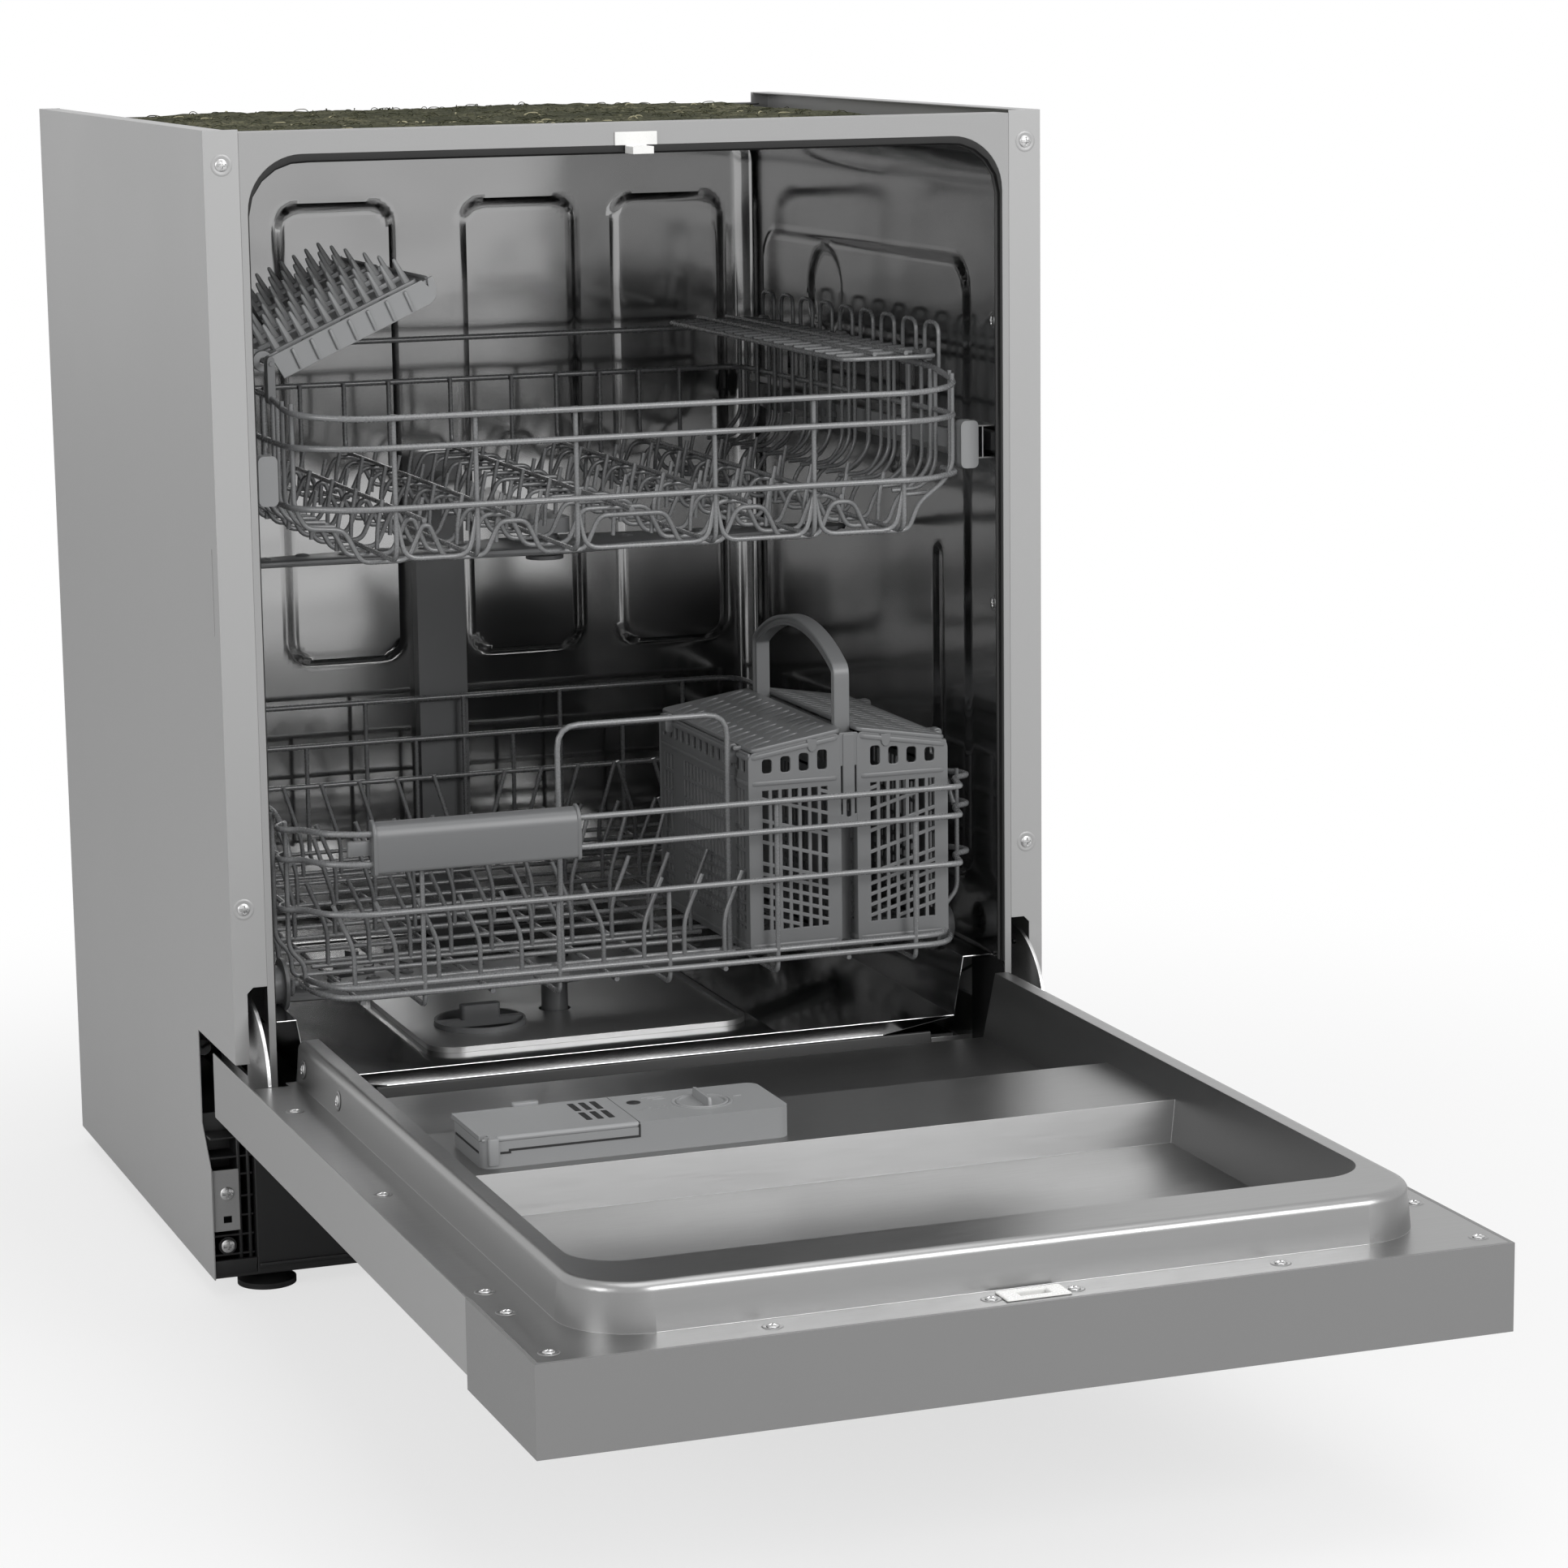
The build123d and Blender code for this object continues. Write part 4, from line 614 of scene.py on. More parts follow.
class DISHWASHER_OT_upper_basket(bpy.types.Operator):
    """Upper basket: bent rails, wave-shaped ribs, side combs, hangers and clips"""
    bl_idname = "dishwasher.upper_basket"
    bl_label = "Upper basket"

    def execute(self, context):
        sizes = context.scene.dishwasher_sizes
        front, back, wall = -14.0, 473.0, 243.0
        rails = [([
            (-208, front, 627), (208, front, 627), (wall, front + 30, 629), (wall, front + 80, 637.5),
            (wall, back, 637.5), (-wall, back, 637.5), (-wall, front + 80, 637.5), (-wall, front + 30, 629),
        ], 20, True), ([
            (-208, front, 607), (208, front, 607), (wall, front + 30, 607), (wall, back, 605),
            (-wall, back, 605), (-wall, front + 30, 607),
        ], 20, True), (mirrored([
            (-wall, front + 62, 566), (-wall, front + 30, 566), (-206, front, 566),
        ]), 16)]
        ribs = [(wave(y, -wall + 3, wall - 3), 6) for y in spread(front + 36, back - 8, 12)]
        near, far = front + 4, back - 3
        for x in (-178, -121, -50, 50, 123, 190):
            ribs.append(([(x, near, 629), (x, near, 529.6), (x, far, 529.6), (x, far, 606)], 12))
        for x in (-149, -86, 0, 87, 156):
            ribs.append(([(x, front + 37, 552.4), (x, far, 552.4), (x, far, 606)], 10))
        y = front + 5
        for x0, x1 in ((-178, -121), (-50, 50), (50, 123), (123, 190)):
            ribs.append(([(x0, y, 560), (x0 + 6, y, 531), (x1 - 6, y, 531), (x1, y, 560)], 10))
        combs = []
        for y in spread(front + 48, back - 14, int((back - front - 60) * MM / sizes.comb_pitch)):
            for side in (-1, 1):
                edge = side * (wall + 0.2)
                combs.append(([(edge, y, 637), (edge, y, 566), (side * (wall - 10), y, 551),
                               (side * (wall - 34), y, 550)], 8))
        x = 246.9
        for y in spread(front + 90, front + 430, 9):
            combs.append(([(x, y - 13, 634), (x, y - 13, 668), (x, y + 13, 668), (x, y + 13, 634)], 9))
        for y in [front + row for row in (80, 150, 215, 280, 345, 410)]:
            for x in spread(-200, 200, 15):
                combs.append(([(x, y, 529), (x + 1, y, 545), (x + 5, y, 563)], 6))
        settle(wires("upper_basket_rails", rails, sizes.rail_wire), "wire_coating", "upper_basket",
               "upper_basket")
        settle(wires("upper_basket_ribs", ribs, sizes.rib_wire), "wire_coating", "upper_basket")
        settle(wires("upper_basket_combs", combs, sizes.tine_wire * 0.94), "wire_coating", "upper_basket")
        blocks = []
        for side in (-1, 1):
            for y in (279, 407):
                blocks.append(plate(rounded(42, 16, 5), [rounded(9, 7, 2, (x, 0)) for x in (-11, 11)], 11.4,
                                    lambda u, v, w: (side * (250.9 + w), y + u, 584 + v), 0.8))
        for y in (76, 246, 416):
            blocks.append(plate(rounded(14, 10, 3), [rounded(3.6, 3.6, 1.8)], 10,
                                lambda u, v, w: (243.0 + v * 0.5, y + w, 645.3 + u * 0.6), 0.5))
        for y in (66, 196, 326):
            blocks.append(plate(rounded(8, 32, 3.5), [rounded(3.6, 3.6, 1.8, (0, 11.5))], 10,
                                lambda u, v, w: (-243.0 + u * 0.6, y + w, 648.5 + v), 0.5))
        settle(merged("upper_basket_clips", blocks), "grey_plastic", "upper_basket")
        near, far, z = front + 70, front + 450, 645.5
        shelf = [([(243, near, z), (170.5, near, z), (170.5, far, z), (243, far, z)], 10, True)]
        for x in (195, 219):
            shelf.append(([(x, near, z + 3), (x, far, z + 3)], 1))
        clear = [y + front for y in (90, 260, 430)]
        for y in spread(near + 14, far - 22, 17):
            reach = 232 if min(abs(y + 8 - c) for c in clear) < 12 else 242
            shelf.append(([(170.5, y, z + 1.6), (reach, y + 8, z + 1.6)], 1))
        settle(wires("cup_shelf_wires", shelf, 0.0034), "wire_coating", "cup_shelf", "cup_shelf")
        return {"FINISHED"}


class DISHWASHER_OT_tine_tray(bpy.types.Operator):
    """Folding tray: two slotted plates with rows of tapered tines"""
    bl_idname = "dishwasher.tine_tray"
    bl_label = "Tine tray"

    def execute(self, context):
        front, px, pz = -14.0, -243.0, 660.0
        tilt = math.radians(24)

        def tip(x, y, z):
            """A point of the tray, x counted up its slope from the hinge rod."""
            return (px + x * math.cos(tilt) - z * math.sin(tilt), y,
                    pz + x * math.sin(tilt) + z * math.cos(tilt))

        octagon = ((1, 0.4), (0.5, 1), (-0.5, 1), (-1, 0.4), (-1, -0.4), (-0.5, -1), (0.5, -1), (1, -0.4))
        lip = [(5, 1.8), (7, -15), (121, -15), (126, -13), (130, -6), (130, 1), (127, 1), (125, -5), (122, 1.8)]
        hook = [(6.6 * math.cos(a), 6.6 * math.sin(a)) for a in spread(-0.5, 4.3, 16)]
        hook += [(3.0 * math.cos(a), 3.0 * math.sin(a)) for a in spread(4.3, -0.5, 16)]
        parts, lugs = [], []
        for start in (front + 88, front + 218):
            middle = start + 57
            cells = [rounded(25, 27, 3, (x, y)) for x in spread(20, 112, 4) for y in (-38, 0, 38)]
            parts.append(plate(rounded(122, 112, 5, (66, 0), 5), cells, 3.2,
                               lambda u, v, w: tip(u, middle + v, w - 0.6), 0.6))
            for y in (start + 0.9, start + 113.1):
                parts.append(plate(lip, [], 2.2, lambda u, v, w: tip(u, y + w, v), 0.5))
            parts.append(plate(rounded(110, 15, 4), [], 2.4,
                               lambda u, v, w: tip(127 + w, middle + u, v - 5.5), 0.6))
            for x in spread(20, 108, 7):
                parts.append(lump((1.2, 1.6, 15), radius=0.4,
                                  place=lambda u, v, k: tip(x + u, start - 0.6 + v, k - 6.8)))
            for y in spread(start + 18, start + 96, 3):
                parts.append(lump((114, 6.5, 4.4), place=lambda u, v, k: tip(65 + u, y + v, k + 0.4)))
                for x in spread(14, 116, 11):
                    rings = []
                    for t in (0, 0.5, 0.93, 1):
                        blunt = 0.6 if t == 1 else 1
                        wide = (2.0 * (1 - t) + 1.0 * t) * blunt
                        deep = (2.9 * (1 - t) + 1.2 * t) * blunt
                        rings.append([at(*tip(x - 1.5 * t + a * deep, y + b * wide, 1.0 + 20 * t))
                                      for a, b in octagon])
                    parts.append(loft(rings))
            for y in (start + 12, start + 34, start + 80, start + 102):
                parts.append(plate(hook, [], 6, lambda u, v, w: tip(u, y + w, v), 0.5))
                parts.append(lump((8, 6, 4), radius=1, place=lambda u, v, k: tip(8 + u, y + v, k + 0.4)))
            lugs.append(plate([(2, 0), (30, 0), (28, 22), (24, 26), (8, 26), (2, 20)], [], 3,
                              lambda u, v, w: tip(u, start + 109 + w, v), 0.6))
        settle(merged("folding_tine_tray", parts), "light_plastic", "tine_tray", "tine_tray")
        settle(merged("tine_tray_lugs", lugs), "black_plastic", "tine_tray")
        rod = [([tip(0, front + 74, 0), tip(0, front + 346, 0)], 1)]
        settle(wires("tine_tray_rod", rod, 0.003), "wire_coating", "tine_tray")
        return {"FINISHED"}


class DISHWASHER_OT_cutlery_basket(bpy.types.Operator):
    """Cutlery basket: two lattice boxes under a low gable of slotted lids, with the arched handle"""
    bl_idname = "dishwasher.cutlery_basket"
    bl_label = "Cutlery basket"

    def lattice(self, width, pitch, bar, slope, gaps=()):
        """Holes of one wall: upright bars crossed by thinner ones that run at a slope."""
        holes = []
        count = int((width - 11) / pitch)
        cell = pitch - bar
        lines = [11 + 7.7 * n for n in range(7)] + [72.6, 88.0, 103.4, 118.8, 134.2]
        for n in range(count):
            x = pitch * (n - (count - 1) / 2)
            if any(low < x < high for low, high in gaps):
                continue
            crossed = [(z, slope) for z in lines if 18 < z + slope * x < 113.5]
            levels = [(15 - bar / 2, 0.0), *crossed, (116.5 + bar / 2, 0.0)]
            for (low, tilt_low), (high, tilt_high) in zip(levels, levels[1:]):
                left, right = x - cell / 2, x + cell / 2
                low, high = low + bar / 2, high - bar / 2
                holes.append([(left, low + tilt_low * left), (right, low + tilt_low * right),
                              (right, high + tilt_high * right), (left, high + tilt_high * left)])
        return holes

    def handle(self, x, centre, foot):
        """The arched handle: two legs and a bow of the same grooved section."""
        span, knee, bow = 81.0, 429.0, 150.0
        swing = math.asin(span / bow)
        lift = knee - bow * math.cos(swing)
        leg = [(-span, foot + 100), (-span, foot + 130), (-span, knee - 18), (-span, knee)]
        line = leg + [(bow * math.sin(a), lift + bow * math.cos(a)) for a in spread(-swing, swing, 25)[1:-1]]
        line += [(-y, z) for y, z in reversed(leg)]
        line = [(p.x, p.y) for p in bent([(y, z, 0) for y, z in line], 9, steps=3)]
        profile = mirrored([(5.4, 3.9), (6.0, 3.3), (6.0, 1.9), (5.4, 1.3), (4.0, 0.9), (4.0, -1.6),
                            (5.0, -2.2), (5.4, -2.8), (5.0, -3.6)])
        rings = []
        for n, (y, z) in enumerate(line):
            before, after = line[max(0, n - 1)], line[min(len(line) - 1, n + 1)]
            along = Vector((0, after[0] - before[0], after[1] - before[1])).normalized()
            across = Vector((0, -along.z, along.y))
            rings.append([at(*(Vector((x + u, centre + y, z)) + across * v)) for u, v in profile])
        return merged("cutlery_basket_handle", [loft(rings)])

    def execute(self, context):
        bar = context.scene.dishwasher_sizes.lattice_bar * 1000
        y0, length, width, foot = 8.0, 195.0, 69.0, 232.7
        height, wall, gable, spine = 142.7, 2.2, 11.0, 153.5
        centre, rim = y0 + length / 2, foot + height
        top, lean = rim + 0.3, math.radians(28)
        hinges = (y0 + 28, y0 + length - 28)
        parts, lids = [], []
        for left, side in ((78.0, -1), (160.0, 1)):
            middle = left + width / 2

            def rise(u):
                """Height of the gable over the outer rim."""
                return gable * (0.5 - side * u / width)

            end = [(u, v + (rise(u) if v > 70 else 0)) for u, v in rounded(width, height, 5, (0, height / 2))]
            windows = []
            for x in spread(-20.85, 20.85, 4):
                tall = 9.6 + 0.6 * rise(x)
                windows.append(rounded(8.2, tall, 2.6, (x, 128 + tall / 2)))
            for y in (y0 + wall / 2, y0 + length - wall / 2):
                parts.append(plate(end, self.lattice(width, 7.4, bar, side * 0.28) + windows, wall,
                                   facing(middle, y, foot), 0.45))
            flank = rounded(length - 3, height, 2, (0, height / 2))
            slots = [rounded(8, 10.4, 2.4, (x, 133.2)) for x in spread(-86, 86, 14)]
            for x in (left + wall / 2, left + width - wall / 2):
                cells = self.lattice(length - 3, 7.4, bar, 0.0, ((-66, -44), (44, 66)))
                parts.append(plate(flank, cells + slots, wall, sideways(x, centre, foot), 0.45))
            floor = [rounded(5.4, 16, 1.4, (x, y)) for x in spread(-26, 26, 8) for y in spread(-84, 84, 9)]
            parts.append(plate(rounded(width, length, 6), floor, 2.2, flat(middle, centre, foot + 1.2), 0.4))
            for z, out, lift in ((foot + 4, 0.7, 0), (foot + 121.5, 0.4, 0), (rim - 3, 0.9, 1)):
                ring, hole = rounded(width + out, length + out, 6), rounded(width - 3, length - 3, 4)
                parts.append(plate(ring, [hole], 3.4,
                                   lambda u, v, w: (middle + u, centre + v, z + w + lift * rise(u)), 0.7))
            parts.append(plate([(-3.4, 1), (3.4, 1), (2.6, -5), (1, -7), (-1, -7), (-2.6, -5)], [], 2.0,
                               facing(middle - side * 13, y0 - 0.2, rim + rise(-side * 13) - 1), 0.5))
            edge = left if side < 0 else left + width
            for y in hinges:
                parts.append(plate(rounded(5.4, 13, 2, (side * 2.7, -2.6), 3),
                                   [rounded(3.3, 3.3, 1.6, (side * 2.7, 1.8), 4)], 7.6, facing(edge, y, rim), 0.5))
            holes = []
            for y in spread(-84, 84, 13):
                for x in (-21.5, 0, 21.5):
                    holes.append([
                        (-side * (x + 11 * math.cos(a) * math.cos(lean) - 3.3 * math.sin(a) * math.sin(lean)),
                         y + 0.16 * x + 11 * math.cos(a) * math.sin(lean) + 3.3 * math.sin(a) * math.cos(lean))
                        for a in full_turn(18)])
            lid = [plate(rounded(width - 2.4, length, 4, (-side * 1.2, 0)), holes, 3.0,
                         lambda u, v, w: (middle + u, centre + v, top + 1.5 + w + rise(u)), 0.8)]
            for y in hinges:
                lid.append(turned([(1.5, -8), (1.5, 8)], (edge + side * 2.7, y, top + 1.5), (0, 1, 0), 16))
                for ear in (y - 6.5, y + 6.5):
                    lid.append(lump((6.0, 2.8, 2.9), (edge + side * 0.3, ear, top + 1.5), 1.2))
            lids.append(merged("cutlery_lid_" + ("left" if side < 0 else "right") + "_slotted", lid))
        parts.append(plate(rounded(length - 40, 112, 4, (0, 56)),
                           [rounded(9, 70, 3, (x, 58)) for x in spread(-66, 66, 9)], 3.0,
                           sideways(spine, centre, foot + 22), 0.6))
        parts.append(lump((13.4, length - 34, 3), (spine, centre, foot + 21.5), 3))
        for end in (-1, 1):
            face = centre + end * (length / 2 - 1.4)
            slits = [rounded(2.0, 36, 0.8, (x, 112)) for x in (-5.2, 5.2)] + [rounded(4.2, 14, 2, (0, 99))]
            for outline, cuts, thick, y, soft in (
                (rounded(14, 64, 1.2, (0, 121)), slits, 2.2, face, 0.4),
                (rounded(8, 46, 1, (0, 129)), [], 2.0, face + end * 0.8, 0.5),
                (rounded(13.4, 92, 1, (0, 47)), [], 2.2, face - end * 15, 0.4),
            ):
                parts.append(plate(outline, cuts, thick, facing(spine, y, foot), soft))
        settle(merged("cutlery_basket_walls", parts), "grey_plastic", "lower_basket", "cutlery_basket")
        settle(lids[0], "grey_plastic", "cutlery_lid_left", "cutlery_lid_left")
        settle(lids[1], "grey_plastic", "cutlery_lid_right", "cutlery_lid_right")
        settle(self.handle(spine, centre, foot), "grey_plastic", "lower_basket", "cutlery_handle")
        return {"FINISHED"}


def arm_rings(reach, centre_y, low, high, bend, side):
    """Rings along half a spray arm, from the hub to its round tip."""
    rings, centre_z = [], low + (high - low) / 2
    for t in [n / 22 for n in range(23)] + [0.985, 1.0]:
        half = 27 * (1 - t) ** 1.3 + 12.5
        tall = (high - low) / 2 * (1 - 0.35 * t)
        if t > 0.93:
            shrink = math.sqrt(max(0.0, 1 - ((t - 0.93) / 0.07) ** 2))
            half, tall = max(0.2, half * shrink), max(0.2, tall * (0.35 + 0.65 * shrink))
        middle = centre_y + side * bend * t
        ring = []
        for a in full_turn(20):
            u = math.copysign(abs(math.cos(a)) ** 0.7, math.cos(a))
            v = math.copysign(abs(math.sin(a)) ** 0.55, math.sin(a))
            ring.append(at(side * reach * t, middle + side * u * half, centre_z + v * tall))
        rings.append(ring)
    return rings


class DISHWASHER_OT_spray_arms(bpy.types.Operator):
    """Spray arms: hollow-looking blades that narrow to their tips, with hub and nozzles"""
    bl_idname = "dishwasher.spray_arms"
    bl_label = "Spray arms"

    def execute(self, context):
        hub_y, bend = 230.0, 10
        nozzle = [(5.2, 0), (5.2, 1.6), (3.9, 2.5), (2.2, 2.5), (2.0, 1.0), (0.1, 1.0)]
        for name, reach, low, high in (
            ("upper_spray_arm", 242.5, 498.5, 507.0), ("lower_spray_arm", 224.5, 176.5, 191.5),
        ):
            parts, tall = [], high - low
            for side in (-1, 1):
                parts.append(loft(arm_rings(reach, hub_y, low, high, bend, side)))
                for n in range(6):
                    t = 0.26 + 0.125 * n
                    y = hub_y + side * (bend * t + (4 if n % 2 else -4))
                    parts.append(turned(nozzle, (side * reach * t, y, high - 1.6 - 1.1 * t), steps=20))
            parts.append(turned([(26, 0.0), (26, tall), (21, tall + 0.9), (11, tall + 0.9), (10.4, tall),
                                 (10.4, 0.0), (20, -0.9), (26, 0)], (0, hub_y, low), steps=40))
            settle(merged(name + "_blades", parts), "grey_plastic", name, name)
        return {"FINISHED"}


def edge_of(distance, width):
    """0 outside, 1 inside, with a soft step of the given width at distance 0."""
    t = min(1.0, max(0.0, 0.5 - distance / width))
    return t * t * (3 - 2 * t)


def box_distance(u, v, cu, cv, w, h, r):
    """Signed distance to a rectangle with round corners, below 0 inside."""
    qx, qy = abs(u - cu) - w / 2 + r, abs(v - cv) - h / 2 + r
    return math.hypot(max(qx, 0), max(qy, 0)) + min(max(qx, qy), 0) - r


class DISHWASHER_OT_tub(bpy.types.Operator):
    """Tub: sides, top and back with their pressed fields, and the mouth gasket"""
    bl_idname = "dishwasher.tub"
    bl_label = "Tub"

    def execute(self, context):
        sizes = context.scene.dishwasher_sizes
        depth, step = sizes.pressing_depth * 1000, sizes.pressing_grid * 1000
        half, top, radius, front, back, foot = 272.0, 805.0, 40.0, 1.0, 527.0, 149.0
        side, arc, total, around = section(half, top, radius, 211.0)

        def side_press(z, y):
            """Height of a side wall's pressings at a point of it."""
            h = depth * edge_of(box_distance(y, z, 278, 486, 424, 452, 26), 5)
            h -= 1.1 * depth * edge_of(math.hypot(y - 348, z - 672) - 34, 5)
            for yc, tall in ((150, 90), (205, 90), (420, 70)):
                h -= 0.9 * depth * edge_of(box_distance(y, z, yc, 640 - tall / 2, 18, tall, 9), 4)
            h -= 0.8 * depth * edge_of(box_distance(y, z, 120, 400, 14, 200, 7), 4)
            return h

        def wrap(u, v):
            """The tub's sides and top, with their pressings."""
            s, y = u * total, front + v * (back - front)
            x, z, nx, nz = around(s)
            h = side_press(z, y) if s < side or s > total - side else 0.0
            if side + arc < s < total - side - arc:
                for xc in (-120, 0, 120):
                    h += depth * edge_of(box_distance(x, y, xc, 280, 92, 330, 22), 5)
            return at(x + nx * h, y, z + nz * h)

        def behind(u, v):
            """The tub's back, with four pressed fields and its corners drawn forward."""
            x, z = -half - 1 + u * (2 * half + 2), foot + v * (top + 1 - foot)
            h = 0.0
            for xc in (-75, 75, -200, 200):
                h += 1.2 * depth * edge_of(box_distance(x, z, xc, 560, 91, 360, 16), 5)
            corner = box_distance(x, z, 0, (top + 100) / 2, 2 * half, top - 100, radius)
            swell = 9 * max(0.0, min(1.0, (corner + 14) / 14)) ** 2
            return at(x, back - h - swell * (1 if z > 200 else 0), z)

        wall = merged("tub_pressed_wrap", [field(int(total / step), int((back - front) / step), wrap)])
        rear = merged("tub_pressed_back", [field(int(2 * half / step), int((top - foot) / step), behind)])
        for piece in (wall, rear):
            skin = piece.modifiers.new("sheet", "SOLIDIFY")
            skin.thickness = 0.0006
            skin.offset = -1.0
        settle(wall, "tub_steel", "cabinet", "tub_wrap")
        settle(rear, "tub_steel", "cabinet", "tub_back")
        rings = []
        for n in range(121):
            x, z, nx, nz = around(total * n / 120)
            # The lip reaches further in along the top, where the door's rim stays clear of it.
            reach = 5.2 + 4.3 * max(0.0, -nz)
            profile = ((1.2, 0.0), (-reach * 0.5, 0.2), (-reach * 0.86, 1.4), (-reach, 3.4), (-reach * 0.96, 5.4),
                       (-reach * 0.74, 6.4), (-reach * 0.76, 7.6), (-reach, 8.8), (-reach * 0.94, 10.8),
                       (-reach * 0.6, 11.6), (1.2, 11.6))
            rings.append([at(x - nx * (1.6 + p), y + 0.6, z - nz * (1.6 + p)) for p, y in profile])
        settle(merged("mouth_gasket", [loft(rings)]), "gasket_rubber", "cabinet", "door_gasket")
        return {"FINISHED"}


class DISHWASHER_OT_felt(bpy.types.Operator):
    """Insulation felt over the tub, with loose fibres on its top"""
    bl_idname = "dishwasher.felt"
    bl_label = "Felt"

    def execute(self, context):
        swell = context.scene.dishwasher_sizes.felt_lump * 1000
        front, back = 29.0, 518.0
        total, around = section(273.0, 806.0, 41.0, 262.0)[2:]
        random.seed(11)

        def skin(s, out):
            """A place at the given height over the tub's outline."""
            x, z, nx, nz = around(s)
            return x - nx * out, z - nz * out

        def height(s, y):
            """How thick the mat is at a place."""
            place = Vector((s / 90, y / 90, 0.3))
            lumps = noise(place) * 0.6 + noise(place * 3.1) * 0.34 + noise(place * 9) * 0.26
            lumps += noise(place * 24) * 0.16
            middle = math.exp(-((s - total / 2) / 190) ** 2) * math.exp(-((y - 430) / 120) ** 2)
            edge = min(1.0, (y - front) / 12, (back - y) / 12)
            return max(1.5, (7.2 + lumps * swell * 0.62 + 2.6 * middle) * max(0.25, edge))

        lengths = spread(0, total, 301)
        rings = []
        for y in spread(front, back, 151):
            ring = []
            for s, out in [(s, height(s, y)) for s in lengths] + [(s, 0.7) for s in lengths[::-2]]:
                x, z = skin(s, out)
                ring.append(at(x, y, z))
            rings.append(ring)
        mat = merged("insulation_felt", [loft(rings)])
        strands = {"felt_fibres": (620, 5, 14, 2.4, 0.0006), "straw_fibres": (60, 5, 13, 2.2, 0.0009)}
        loose = []
        for name, (many, short, long, tall, thick) in strands.items():
            fibres = []
            for n in range(many):
                s = total / 2 + random.uniform(-250, 250)
                y = random.uniform(front + 12, back - 14)
                x, z = skin(s, height(s, y) - 0.4)
                a, length, up = random.uniform(0, 6.28), random.uniform(short, long), random.uniform(0.5, tall)
                dx, dy = math.cos(a) * length, math.sin(a) * length
                fibres.append(([(x, y, z), (x + dx * 0.3, y + dy * 0.6, z + up),
                                (x + dx * 0.8, y + dy * 0.7, z + up), (x + dx, y + dy, z - 0.5)], 6))
            loose.append(wires(name, fibres, thick))
        settle(mat, "felt", "cabinet", "insulation_blanket")
        settle(loose[0], "felt", "cabinet")
        settle(loose[1], "felt", "cabinet", look="straw")
        return {"FINISHED"}


def screw(centre, normal, head):
    """The domed head of a cross-head screw, with its recess."""
    spot, angles, radius = seat(centre, normal), full_turn(36), head / 2
    dome, recess, slot = head * 0.14, head * 0.12, 0.14
    rings = [[spot(radius * math.cos(a), radius * math.sin(a), -0.2) for a in angles]]
    for r in (1.0, 0.97, 0.88, 0.74, 0.6, 0.48, 0.36, 0.24, 0.12, 0.02):
        ring = []
        for a in angles:
            u, v = r * math.cos(a), r * math.sin(a)
            z = dome * math.sqrt(max(0.0, 1 - (r * 0.97) ** 2)) + 0.25
            if r < 0.62 and min(abs(u), abs(v)) < slot:
                z -= recess
            ring.append(spot(u * radius, v * radius, z))
        rings.append(ring)
    return loft(rings)


def dimple(centre, normal, head):
    """The pressed ring of sheet round a screw."""
    radius = head / 2
    return turned([(radius * 1.75, 0.02), (radius * 1.62, 0.32), (radius * 1.36, 0.34), (radius * 1.1, 0.08),
                   (0.1, 0.08)], centre, normal, 36)


class DISHWASHER_OT_screws(bpy.types.Operator):
    """Cross-head screws of the cabinet, door and rim"""
    bl_idname = "dishwasher.screws"
    bl_label = "Screws"

    def execute(self, context):
        head = context.scene.dishwasher_sizes.screw_head * 1000
        front = [((x, 0, z), (0, -1, 0), head) for x, z in
                 ((-286.8, 797), (-289.6, 297.6), (287.5, 798), (287, 298))]
        inner = [((side * 271.7, 22, z), (-side, 0, 0), head * 0.9) for side in (-1, 1) for z in (672, 470)]
        door = [((x, -671, 183), (0, 0, 1), head * 0.86) for x in (-157, -26, 25, 155)]
        for side in (-1, 1):
            door += [((side * 285.5, y, 183), (0, 0, 1), head * 0.86) for y in (-110, -328, -547, -589, -668)]
            door += [((side * 264.2, y, 195), (side, 0, 0.09), head * 0.9) for y in (-49, -140)]
        settle(merged("cabinet_screws", [screw(*place) for place in front + inner]), "hinge_steel", "cabinet")
        settle(merged("flange_dimples", [dimple(*place) for place in front]), "painted_side", "cabinet")
        settle(merged("tub_dimples", [dimple(*place) for place in inner]), "tub_steel", "cabinet")
        settle(merged("door_screws", [screw(*place) for place in door]), "hinge_steel", "door")
        settle(merged("liner_dimples", [dimple(*place) for place in door]), "tub_steel", "door",
               look="drawn_steel")
        return {"FINISHED"}


